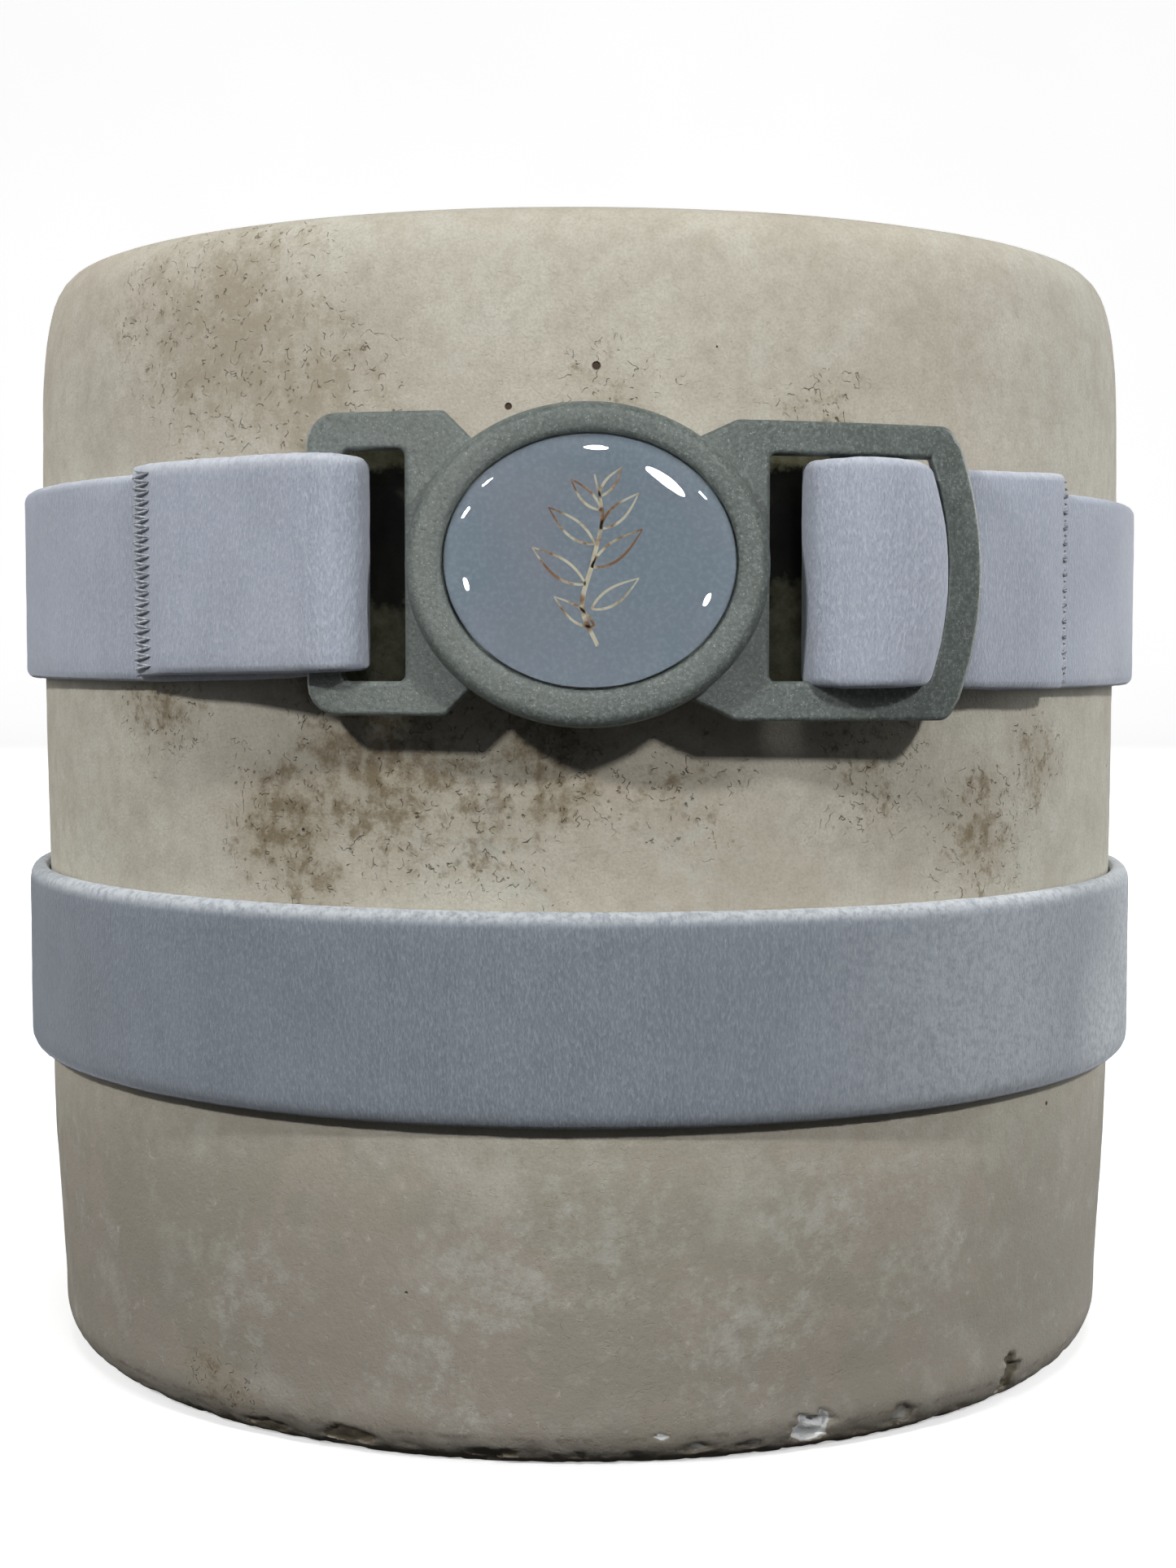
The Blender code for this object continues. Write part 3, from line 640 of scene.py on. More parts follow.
def section_rows(node):
    """The half's cross-section as a closed loop of (radius, height, is_wall) rows."""
    points = turned_points(node)
    wall = sorted((p for p in points if p[0] > WALL_FROM), key=lambda p: -p[1])
    cavity = sorted((p for p in points if p[0] < CAVITY_TO and p[1] > CAVITY_ABOVE), key=lambda p: p[1])
    seat = sorted((p for p in points if p[0] < CAVITY_TO and p[1] < CAVITY_ABOVE), key=lambda p: -p[0])

    def wall_spacing(start, end):
        return EDGE_ROW_SPACING if min(start[1], end[1]) < EDGE_ROWS_BELOW else ROW_SPACING

    vessel = [p for p in cavity if p[1] < VESSEL_TOP]
    rows = [(r, z, 1.0) for r, z in smooth_line(wall, wall_spacing)]
    stops = [seat[0], seat[1], seat[2], vessel[0]]
    counts = [12, 10, 3, 3]
    here = wall[-1]
    for stop, count in zip(stops, counts):
        rows += [(r, z, 0.0) for r, z in straight_rows(here, stop, count)]
        here = stop
    rows += [(r, z, 0.0) for r, z in smooth_line(vessel, CAVITY_ROW_SPACING)[1:]]
    here = vessel[-1]
    for stop, count in ((cavity[-2], 2), (cavity[-1], 9), (wall[0], 9)):
        rows += [(r, z, 0.0) for r, z in straight_rows(here, stop, count)]
        here = stop
    return rows[:-1]


def wall_change(degrees, x, y, z):
    """How far the wall stands in or out at a point, and how broken and fresh it is there."""
    out = 0.00022 * round_noise(x, y, z, 0.030) + 0.00009 * round_noise(x, y, z, 0.008, 5.0)
    out += 0.00004 * round_noise(x, y, z, 0.0026, 9.0)
    low = smooth_step(0.0065, 0.0005, z)
    crumble = max(0.0, round_noise(x, y, z, 0.0018, 3.0)) + max(0.0, round_noise(x, y, z, 0.0042, 8.0))
    out -= 0.00085 * low * low * crumble
    broken = 0.0
    fresh = 0.0
    for chip_degrees, chip_z, half_width, half_height, depth, whiteness in CHIPS:
        around = math.radians((degrees - chip_degrees + 180.0) % 360.0 - 180.0) * FOOT_RADIUS
        if abs(around) > 3 * half_width or abs(z - chip_z) > 3 * half_height:
            continue
        ragged = 1.0 + 0.65 * round_noise(x, y, z, 0.0017, 21.0)
        reach = math.hypot(around / half_width, (z - chip_z) / half_height) / ragged
        inside = smooth_step(1.15, 0.70, reach)
        out -= depth * inside * (0.75 + 0.5 * round_noise(x, y, z, 0.0011, 33.0))
        broken = max(broken, inside)
        fresh = max(fresh, inside * whiteness)
    return out, broken, fresh


def plaster_half(name, node, body, side, keys):
    """One half of the mold: side is -1 for the front and +1 for the back."""
    rows = section_rows(node)
    columns = round(180 / COLUMN_DEGREES)
    vertices = []
    broken_values = []
    fresh_values = []
    for column in range(columns + 1):
        turn = -90.0 + 180.0 * column / columns
        angle = math.radians(turn)
        degrees = turn if side < 0 else 180.0 - turn
        to_face = min(turn + 90.0, 90.0 - turn)
        for r, z, is_wall in rows:
            x = r * math.sin(angle)
            y = side * r * math.cos(angle)
            broken = fresh = 0.0
            if is_wall:
                out, broken, fresh = wall_change(degrees, x, y, z)
                edge = smooth_step(1.0, 0.0, to_face)
                out -= edge * (0.00016 + 0.00022 * max(0.0, round_noise(x, 0.0, z, 0.004, 2.0)))
            else:
                out = 0.00010 * round_noise(x, y, z, 0.014, 4.0)
                out *= smooth_step(0.0, 0.010, z)
            r2 = r + out
            y2 = max(r2 * math.cos(angle), GAP / 2)
            vertices.append((r2 * math.sin(angle), side * y2, z))
            broken_values.append(broken)
            fresh_values.append(fresh)
    count = len(rows)
    faces = []
    for column in range(columns):
        for row in range(count):
            a = column * count + row
            b = column * count + (row + 1) % count
            faces.append((a, b, b + count, a + count))
    obj = new_object(name, vertices, faces)
    add_values(obj, "broken", broken_values)
    add_values(obj, "fresh", fresh_values)
    cut_face(obj, side, keys)
    settle(close_up(obj, 40.0), PLASTER, node, body)


def cut_face(obj, side, keys):
    """Close the half's parting face round the bores of its keys, and line the bores."""
    bm = bmesh.new()
    bm.from_mesh(obj.data)
    open_edges = [edge for edge in bm.edges if len(edge.link_faces) == 1]
    face_y = side * GAP / 2
    rings = []
    for key in keys:
        low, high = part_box(key)
        radius = (high.x - low.x) / 2 + GAP
        ring = []
        for step in range(BORE_STEPS):
            angle = 2 * math.pi * step / BORE_STEPS
            x = (low.x + high.x) / 2 + radius * math.cos(angle)
            z = (low.z + high.z) / 2 + radius * math.sin(angle)
            ring.append(bm.verts.new((x, face_y, z)))
        rings.append((ring, (high.y if side > 0 else low.y) + side * GAP))
    ring_edges = []
    for ring, _ in rings:
        for step in range(BORE_STEPS):
            ring_edges.append(bm.edges.new((ring[step], ring[(step + 1) % BORE_STEPS])))
    bmesh.ops.triangle_fill(bm, use_beauty=True, use_dissolve=False, edges=open_edges + ring_edges)
    for ring, bottom_y in rings:
        bottom = [bm.verts.new((v.co.x, bottom_y, v.co.z)) for v in ring]
        for step in range(BORE_STEPS):
            after = (step + 1) % BORE_STEPS
            bm.faces.new((ring[step], ring[after], bottom[after], bottom[step]))
        bm.faces.new(bottom)
    bm.to_mesh(obj.data)
    bm.free()


def lathe(name, profile, steps, place=(0.0, 0.0, 0.0), turn=0.0):
    """Turn a profile of (radius, height) points, which starts and ends on the axis.

    The piece is then tipped about X by some degrees, and moved to its place."""
    vertices = [(0.0, 0.0, profile[0][1])]
    for r, z in profile[1:-1]:
        for step in range(steps):
            angle = 2 * math.pi * step / steps
            vertices.append((r * math.cos(angle), r * math.sin(angle), z))
    vertices.append((0.0, 0.0, profile[-1][1]))
    obj = new_object(name, vertices, closed_faces(len(profile) - 2, steps))
    obj.data.transform(Matrix.Translation(place) @ Matrix.Rotation(math.radians(turn), 4, "X"))
    return close_up(obj)


def eased(profile, radius, steps=3):
    """Round the corners of a profile, apart from its two ends."""
    line = [profile[0]]
    for before, here, after in zip(profile, profile[1:], profile[2:]):
        if min(math.dist(before, here), math.dist(here, after)) < 2 * radius:
            line.append(here)
            continue
        start = Vector(here) + (Vector(before) - Vector(here)).normalized() * radius
        end = Vector(here) + (Vector(after) - Vector(here)).normalized() * radius
        for step in range(steps + 1):
            t = step / steps
            point = start * (1 - t) ** 2 + Vector(here) * 2 * t * (1 - t) + end * t * t
            line.append(tuple(point))
    line.append(profile[-1])
    return line


def base_plug():
    low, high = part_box("mold_base_plug")
    points = sorted(turned_points("mold_base_plug"), key=lambda p: (p[1], p[0]))
    bottom, chamfer = points[0], points[1]
    shoulder = [p for p in points if abs(p[1] - PLUG_SHOULDER) < SAME]
    top_outer = max(shoulder)
    boss_foot = min(shoulder)
    boss_top = max(points, key=lambda p: p[1])
    profile = [(0.0, high.z), boss_top, boss_foot, top_outer, chamfer, bottom, (0.0, low.z)]
    obj = lathe("base_plug", eased(profile, PLUG_EASE), PLUG_STEPS)
    for value in ("broken", "fresh"):
        add_values(obj, value, [0.0] * len(obj.data.vertices))
    settle(obj, PLASTER, "mold_base_plug", "base_plug")


def natch_pieces():
    """The plastic keys: a peg with a round nub in the front half, a cup in the back half."""
    for natch in NATCHES:
        low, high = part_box(f"natch_peg_{natch}")
        x, z = (low.x + high.x) / 2, (low.z + high.z) / 2
        nub = high.y + GAP / 2
        for kind, piece, body, side, wide, tall, material in [
            ("peg", "peg", "mold_front", -1, nub, nub, PEG_PLASTIC),
            ("socket", "cup", "mold_back", 1, nub + GAP, -nub - 2 * GAP, SOCKET_PLASTIC),
        ]:
            node = f"natch_{kind}_{natch}"
            low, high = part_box(node)
            edge = (high.x - low.x) / 2
            depth = low.y + GAP / 2 if side < 0 else GAP / 2 - high.y
            profile = [(0.0, tall)]
            for step in range(1, 9):
                angle = math.radians(90.0 - 90.0 * step / 8)
                profile.append((wide * math.cos(angle), tall * math.sin(angle)))
            profile += [(edge - KEY_EASE, 0.0), (edge, -KEY_EASE), (edge, depth), (0.0, depth)]
            obj = lathe(f"{piece}_{natch}", profile, KEY_STEPS, (x, side * GAP / 2, z), 90.0 * side)
            settle(obj, material, node, body)


# ---------------------------------------------------------------- belts

def webbing_section(inward, outward, edge_in, edge_out, half_width):
    """Points (out, across) round the webbing's cross-section; across runs from -1 to 1."""
    corner = []
    for step in range(5):
        angle = math.radians(22.5 * step)
        corner.append((outward * math.cos(angle), half_width - edge_out * (1 - math.sin(angle))))
    for step in range(1, 5):
        angle = math.radians(22.5 * step)
        corner.append((-inward * math.sin(angle), half_width - edge_in * (1 - math.cos(angle))))
    flat_out = []
    flat_in = []
    for step in range(1, 12):
        along = 2 * step / 12 - 1
        flat_out.append((outward, (half_width - edge_out) * along))
        flat_in.append((-inward, (edge_in - half_width) * along))
    loop = flat_out + corner + flat_in + [(out, -across) for out, across in reversed(corner)]
    return [(out, across / half_width) for out, across in loop]


def sweep_belt(name, route, section, material, middle):
    """Run the section along a route of (x, y, low, high, bow, press) points.

    bow pushes the middle of the belt's height towards +X, and press is how far the belt is
    squeezed thin, from 0 to 1. The material reads each point's place on the cloth, as (length
    along it, height above the middle, out). Returns the belt and its length."""
    route = smooth_line(route, BELT_SPACING)
    vertices = []
    cloth = []
    length = 0.0
    count = len(section)
    for i, (x, y, low, high, bow, press) in enumerate(route):
        before = route[max(0, i - 1)]
        after = route[min(len(route) - 1, i + 1)]
        direction = Vector((after[0] - before[0], after[1] - before[1])).normalized()
        out_x, out_y = -direction.y, direction.x
        if i:
            length += math.dist((x, y), route[i - 1][:2])
        for out, across in section:
            z = (low + high) / 2 + across * (high - low) / 2
            side_x = x + bow * (1 - across * across)
            nap = 0.00006 * round_noise(length, z, out, 0.0022)
            nap += 0.00010 * round_noise(length, z, out, 0.009, 7.0)
            thick = out * (1 - press)
            if abs(out) > 0.0005:
                thick += math.copysign(nap, out)
            fray = 0.00010 * round_noise(length, z, 0.0, 0.0012, 3.0) if abs(across) > 0.97 else 0.0
            vertices.append((side_x + out_x * thick, y + out_y * thick, z + fray))
            cloth += (length, z - middle, out)
    faces = []
    for i in range(len(route) - 1):
        for j in range(count):
            a = i * count + j
            b = i * count + (j + 1) % count
            faces.append((a, b, b + count, a + count))
    faces.append(tuple(range(count)))
    faces.append(tuple(len(vertices) - count + j for j in range(count)))
    obj = new_object(name, vertices, faces)
    obj.data.attributes.new("cloth", "FLOAT_VECTOR", "POINT").data.foreach_set("vector", cloth)
    give(close_up(obj, 50.0), material)
    return obj, length


def wall_levels(degrees):
    """The upper belt's low and high edge where it lies on the wall: it sags a little to the right."""
    right = smooth_step(-60.0, -300.0, degrees)
    return (0.1101 - 0.0012 * right, 0.1401 - 0.0022 * right)


def loose(x, y, low, high, bow=0.0):
    return (x, y, low, high, bow, 0.0)


def laid(degrees, radius, low, high, press=0.0):
    return (*on_mold(degrees, radius), low, high, 0.0, press)


def on_wall(degrees):
    return laid(degrees, WALL_BELT_RADIUS, *wall_levels(degrees))


def upper_left_route():
    """From the left folded end, through the clasp's slot, and back along the wall."""
    folded = [
        laid(-42.3, DOUBLE - 0.0010, 0.1108, 0.1410, 0.62),
        laid(-41.2, DOUBLE - 0.0007, 0.1109, 0.1411, 0.42),
        laid(-39.2, DOUBLE - 0.0002, 0.1110, 0.1412, 0.20),
        laid(-37.0, DOUBLE + 0.0005, 0.1111, 0.1412), laid(-31.0, 0.0972, 0.1113, 0.1412),
        loose(-0.0374, -0.0942, 0.1116, 0.1410), loose(-0.0346, -0.0961, 0.1117, 0.1409),
        loose(-0.0318, -0.0964, 0.1118, 0.1407), loose(-0.0299, -0.0951, 0.1119, 0.1405),
        loose(-0.0295, -0.0925, 0.1119, 0.1404), loose(-0.0297, -0.0897, 0.1119, 0.1404),
        loose(-0.0312, -0.0879, 0.1118, 0.1405), loose(-0.0345, -0.0868, 0.1115, 0.1405),
        loose(-0.0376, -0.0857, 0.1110, 0.1404),
        laid(-28.0, 0.0932, 0.1106, 0.1403), laid(-35.0, WALL_BELT_RADIUS, 0.1103, 0.1402),
    ]
    return folded + [on_wall(degrees) for degrees in (*range(-40, -80, -5), -SPLIT_DEGREES)]


def upper_run_route():
    """From the left side, round the back, to the right folded end."""
    return [on_wall(degrees) for degrees in (-SPLIT_DEGREES, *range(-85, -325, -5))] + [
        laid(35.0, WALL_BELT_RADIUS, 0.1094, 0.1386), laid(30.0, WALL_BELT_RADIUS, 0.1097, 0.1391),
        laid(28.0, 0.0927, 0.1098, 0.1394), laid(25.5, 0.0933, 0.1099, 0.1396),
        laid(23.0, 0.0943, 0.1100, 0.1398),
        loose(0.0334, -0.0882, 0.1098, 0.1400), loose(0.0320, -0.0896, 0.1098, 0.1400),
        loose(0.0317, -0.0922, 0.1098, 0.1400), loose(0.0326, -0.0948, 0.1098, 0.1400),
        loose(0.0354, -0.0962, 0.1096, 0.1402), loose(0.0395, -0.0963, 0.1096, 0.1403),
        loose(0.0435, -0.0948, 0.1097, 0.1401, 0.0010), loose(0.0459, -0.0922, 0.1098, 0.1398, 0.0024),
        loose(0.0463, -0.0893, 0.1098, 0.1396, 0.0024), loose(0.0461, -0.0862, 0.1098, 0.1396, 0.0012),
        loose(0.0464, -0.0842, 0.1096, 0.1396), loose(0.0475, -0.0830, 0.1095, 0.1397),
        loose(0.0495, -0.0820, 0.1094, 0.1398), loose(0.0522, -0.0805, 0.1093, 0.1399),
        loose(0.0552, -0.0786, 0.1092, 0.1399),
        laid(38.0, 0.0957, 0.1091, 0.1400), laid(41.0, DOUBLE, 0.1090, 0.1401),
        laid(44.5, DOUBLE, 0.1089, 0.1403), laid(47.0, DOUBLE - 0.0003, 0.1089, 0.1404, 0.20),
        laid(48.0, DOUBLE - 0.0006, 0.1089, 0.1404, 0.42),
    ]


def lower_route():
    """Once round the mold, with the ends lapped at the back."""
    span = 180.0 + LAP_DEGREES
    steps = 2 * round(span)
    route = []
    for step in range(steps + 1):
        degrees = -span + 2 * span * step / steps
        climb = smooth_step(180.0 - 3 * LAP_DEGREES, 180.0 - 2 * LAP_DEGREES, degrees)
        sag = 0.0003 * math.sin(math.radians(degrees))
        radius = LOWER_BELT_RADIUS + LAYER * climb
        route.append(laid(degrees, radius, LOWER_LOW + 0.0003 - sag, LOWER_HIGH + 0.0005 - sag))
    return route[::-1]


def belts():
    width = UPPER_HIGH - UPPER_LOW
    half = THICKNESS / 2
    section = webbing_section(half, half, INNER_EASE, OUTER_EASE, width / 2)
    lower_out = half + LOWER_SWELL
    lower_section = webbing_section(half, lower_out, INNER_EASE, LOWER_OUTER_EASE, width / 2)
    middle = (UPPER_LOW + UPPER_HIGH) / 2
    lower_middle = (LOWER_LOW + LOWER_HIGH) / 2
    left, left_length = sweep_belt("upper_belt_left", upper_left_route(), section, UPPER_WEBBING, middle)
    run, run_length = sweep_belt("upper_belt_run", upper_run_route(), section, UPPER_WEBBING, middle)
    lower, lower_length = sweep_belt("lower_belt", lower_route(), lower_section, LOWER_WEBBING_SHADED, lower_middle)
    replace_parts(run, "upper_belt_webbing")
    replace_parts(left, "upper_belt_webbing")
    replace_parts(lower, "lower_belt_webbing")
    for belt in (run, lower):
        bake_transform(belt)
    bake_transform(left)


def tube(name, path, radius, sides=6):
    """A round thread along a path of points, thinner at its two ends."""
    points = [Vector(p) for p in path]
    last = len(points) - 1
    vertices = []
    faces = []
    for i, point in enumerate(points):
        along = (points[min(last, i + 1)] - points[max(0, i - 1)]).normalized()
        out = Vector((point.x, point.y, 0.0)).normalized()
        up = along.cross(out).normalized()
        out = up.cross(along).normalized()
        reach = radius * (0.35 if i in (0, last) else 1.0)
        for side in range(sides):
            angle = 2 * math.pi * side / sides
            vertices.append(point + (out * math.cos(angle) + up * math.sin(angle)) * reach)
    for i in range(last):
        for side in range(sides):
            after = (side + 1) % sides
            a = i * sides
            faces.append((a + side, a + after, a + sides + after, a + sides + side))
    faces.append(tuple(range(sides)))
    faces.append(tuple(last * sides + side for side in range(sides)))
    return close_up(new_object(name, vertices, faces))


def seam(name, node, body, start, end, radius_at, low, high, stitches, thread_radius, seed):
    """Zigzag stitches up a belt, each pulled down into the nap at its ends."""
    path = []
    for stitch in range(stitches * 2):
        first = (start, end)[stitch % 2]
        second = (start, end)[(stitch + 1) % 2]
        z1 = low + (high - low) * stitch / (stitches * 2)
        z2 = low + (high - low) * (stitch + 1) / (stitches * 2)
        jitter = noise.noise(Vector((stitch * 1.37, seed, 0.0)))
        for step in range(STITCH_STEPS):
            t = step / STITCH_STEPS
            degrees = first + (second - first) * t + 0.25 * jitter * math.sin(math.pi * t)
            rise = math.sin(math.pi * t) ** 0.6 if 0 < t < 1 else 0.0
            radius = radius_at(degrees) - STITCH_SINK + STITCH_RISE * rise
            z = z1 + (z2 - z1) * t + 0.0003 * jitter
            path.append((*on_mold(degrees, radius), z))
    settle(tube(name, path, thread_radius), THREAD, node, body)


def seams():
    surface = THICKNESS / 2

    def left_radius(degrees):
        return DOUBLE + surface - 0.0010 * smooth_step(-37.5, -42.3, degrees)

    def right_radius(degrees):
        return WALL_BELT_RADIUS + surface + (LAYER - 0.0006) * smooth_step(48.7, 47.9, degrees)

    def lower_radius(degrees):
        return LOWER_BELT_RADIUS + surface + LAYER

    seam("upper_left_stitches", "upper_belt_left_seam", "clasp_left", -41.9, -39.0, left_radius,
         0.1118, 0.1404, 22, 0.00019, 1.0)
    seam("upper_right_stitches", "upper_belt_right_seam", "mold_front", 47.4, 50.8, right_radius,
         0.1098, 0.1394, 13, 0.00022, 2.0)
    seam("lower_stitches", "lower_belt_seam", "mold_back", 178.4, 181.6, lower_radius,
         LOWER_LOW + 0.0012, LOWER_HIGH - 0.0008, 14, 0.00022, 3.0)


# ---------------------------------------------------------------- clasp

def rounded(corners, arc_points=6):
    """An outline of (x, z) points from corners (x, z, radius), each rounded by an arc."""
    outline = []
    for i, (x, z, radius) in enumerate(corners):
        if radius == 0.0:
            outline.append((x, z))
            continue
        before = corners[i - 1]
        after = corners[(i + 1) % len(corners)]
        into = math.atan2(before[1] - z, before[0] - x)
        away = math.atan2(after[1] - z, after[0] - x)
        half = ((away - into + math.pi) % (2 * math.pi) - math.pi) / 2
        middle = into + half
        reach = radius / math.sin(abs(half))
        centre = (x + reach * math.cos(middle), z + reach * math.sin(middle))
        sweep = math.pi - 2 * abs(half)
        turn = -1.0 if half > 0 else 1.0
        start = middle + math.pi + turn * -sweep / 2
        for step in range(arc_points):
            angle = start + turn * sweep * step / (arc_points - 1)
            outline.append((centre[0] + radius * math.cos(angle), centre[1] + radius * math.sin(angle)))
    return outline


def box_outline(low_x, high_x, low_z, high_z, radius=0.0):
    return rounded([
        (low_x, low_z, radius), (high_x, low_z, radius), (high_x, high_z, radius), (low_x, high_z, radius),
    ])


def bowed(end_x, middle_x, low_z, high_z, steps=12):
    middle_z = (low_z + high_z) / 2
    half = (high_z - low_z) / 2
    edge = []
    for step in range(steps + 1):
        z = low_z + (high_z - low_z) * step / steps
        edge.append((end_x + (middle_x - end_x) * (1 - ((z - middle_z) / half) ** 2), z))
    return edge


def flat_plate(name, outlines, inner, outer, round_edge):
    """A flat plate with rounded edges: X and Z as on the clasp, and Y holds minus its radius.

    Every outline after the first is a hole."""
    curve = bpy.data.curves.new(name, "CURVE")
    curve.dimensions = "2D"
    curve.fill_mode = "BOTH"
    curve.extrude = (outer - inner) / 2 - round_edge
    curve.bevel_depth = round_edge
    curve.bevel_resolution = 3
    curve.offset = -round_edge
    for outline in outlines:
        spline = curve.splines.new("POLY")
        spline.points.add(len(outline) - 1)
        for point, (x, z) in zip(spline.points, outline):
            point.co = (x, z, 0.0, 1.0)
        spline.use_cyclic_u = True
    guide = bpy.data.objects.new(name + "_guide", curve)
    bpy.context.scene.collection.objects.link(guide)
    mesh = applied(guide)
    bpy.data.objects.remove(guide, do_unlink=True)
    middle = (inner + outer) / 2
    for vertex in mesh.vertices:
        x, z, depth = vertex.co
        vertex.co = (x, -(middle + depth), z)
    bm = bmesh.new()
    bm.from_mesh(mesh)
    bmesh.ops.remove_doubles(bm, verts=bm.verts, dist=WELD)
    bmesh.ops.recalc_face_normals(bm, faces=bm.faces)
    bm.to_mesh(mesh)
    bm.free()
    obj = bpy.data.objects.new(name, mesh)
    bpy.context.scene.collection.objects.link(obj)
    return obj


def applied(obj):
    """A mesh of the object as its curve or modifiers make it."""
    bpy.context.view_layer.update()
    return bpy.data.meshes.new_from_object(obj.evaluated_get(bpy.context.evaluated_depsgraph_get()))


def combine(obj, operation, other):
    """Apply a Boolean with another object, which is then removed."""
    modifier = obj.modifiers.new("combine", "BOOLEAN")
    modifier.operation = operation
    modifier.solver = "EXACT"
    modifier.object = other
    mesh = applied(obj)
    obj.modifiers.remove(modifier)
    obj.data = mesh
    bpy.data.objects.remove(other, do_unlink=True)


def bend_plate(obj):
    """Cut a flat plate into upright strips and bend it about the clasp's axis."""
    bm = bmesh.new()
    bm.from_mesh(obj.data)
    low = min(v.co.x for v in bm.verts)
    high = max(v.co.x for v in bm.verts)
    cuts = int((high - low) / STRIP_WIDTH)
    for cut in range(1, cuts + 1):
        x = low + cut * STRIP_WIDTH
        geometry = bm.verts[:] + bm.edges[:] + bm.faces[:]
        bmesh.ops.bisect_plane(bm, geom=geometry, dist=1e-7, plane_co=(x, 0.0, 0.0), plane_no=(1.0, 0.0, 0.0))
    for vertex in bm.verts:
        radius = -vertex.co.y
        vertex.co.y = CLASP_AXIS_Y - math.sqrt(radius ** 2 - (vertex.co.x - CLASP_X) ** 2)
    bmesh.ops.remove_doubles(bm, verts=bm.verts, dist=WELD / 2)
    bm.to_mesh(obj.data)
    bm.free()


def finish_clasp(obj, node, body):
    bend_plate(obj)
    close_up(obj, 32.0)
    weighted = obj.modifiers.new("normals", "WEIGHTED_NORMAL")
    weighted.keep_sharp = True
    settle(obj, CLASP, node, body)


def clasp_left():
    outline = rounded([
        (-0.0366, 0.1059, 0.0042), (-0.0177, 0.1059, 0.0012), (-0.0126, 0.1110, 0.0),
        (-0.0126, 0.1413, 0.0), (-0.0177, 0.1464, 0.0012), (-0.0366, 0.1464, 0.0042),
    ])
    slot = box_outline(-0.0315, -0.0230, 0.1105, 0.1414, 0.0010)
    half = flat_plate("clasp_left", [outline, slot], FRAME_INNER, FRAME_OUTER, FRAME_EASE)
    tongue_outline = box_outline(-0.0160, 0.0120, CLASP_Z - 0.0130, CLASP_Z + 0.0130, 0.0020)
    combine(half, "UNION", flat_plate("clasp_tongue", [tongue_outline], TONGUE_INNER, TONGUE_OUTER, 0.0003))
    finish_clasp(half, "clasp_left_half", "clasp_left")


def clasp_right():
    outer_edge = bowed(0.0526, 0.0558, 0.1080, 0.1422)
    outline = rounded(
        [(0.0130, 0.1090, 0.0), (0.0212, 0.1052, 0.0020), (0.0508, 0.1050, 0.0022)]
        + [(x, z, 0.0) for x, z in outer_edge]
        + [(0.0506, 0.1451, 0.0022), (0.0212, 0.1452, 0.0020), (0.0130, 0.1414, 0.0)]
    )
    inner_edge = bowed(0.0480, 0.0507, 0.1105, 0.1407)
    opening = rounded(
        [(0.0256, 0.1105, 0.0008)] + [(x, z, 0.0) for x, z in inner_edge] + [(0.0256, 0.1407, 0.0008)]
    )
    half = flat_plate("clasp_right", [outline, opening], FRAME_INNER, FRAME_OUTER, FRAME_EASE)
    bar = box_outline(0.0340, 0.0444, 0.1085, 0.1427)
    combine(half, "UNION", flat_plate("clasp_bar", [bar], TONGUE_INNER, BAR_OUTER, FRAME_EASE))
    socket = box_outline(-0.0120, 0.0190, CLASP_Z - 0.0165, CLASP_Z + 0.0165)
    combine(half, "UNION", flat_plate("clasp_socket", [socket], SOCKET_INNER, SOCKET_OUTER, 0.0005))
    channel = box_outline(-0.0170, 0.0126, CLASP_Z - 0.0133, CLASP_Z + 0.0133)
    channel = flat_plate("clasp_channel", [channel], TONGUE_INNER - GAP, TONGUE_OUTER + GAP, 0.0001)
    combine(half, "DIFFERENCE", channel)
    finish_clasp(half, "clasp_right_half", "mold_front")


def oval_point(angle, size, shift=(0.0, 0.0)):
    return (CLASP_X + shift[0] + size[0] * math.cos(angle), CLASP_Z + shift[1] + size[1] * math.sin(angle))


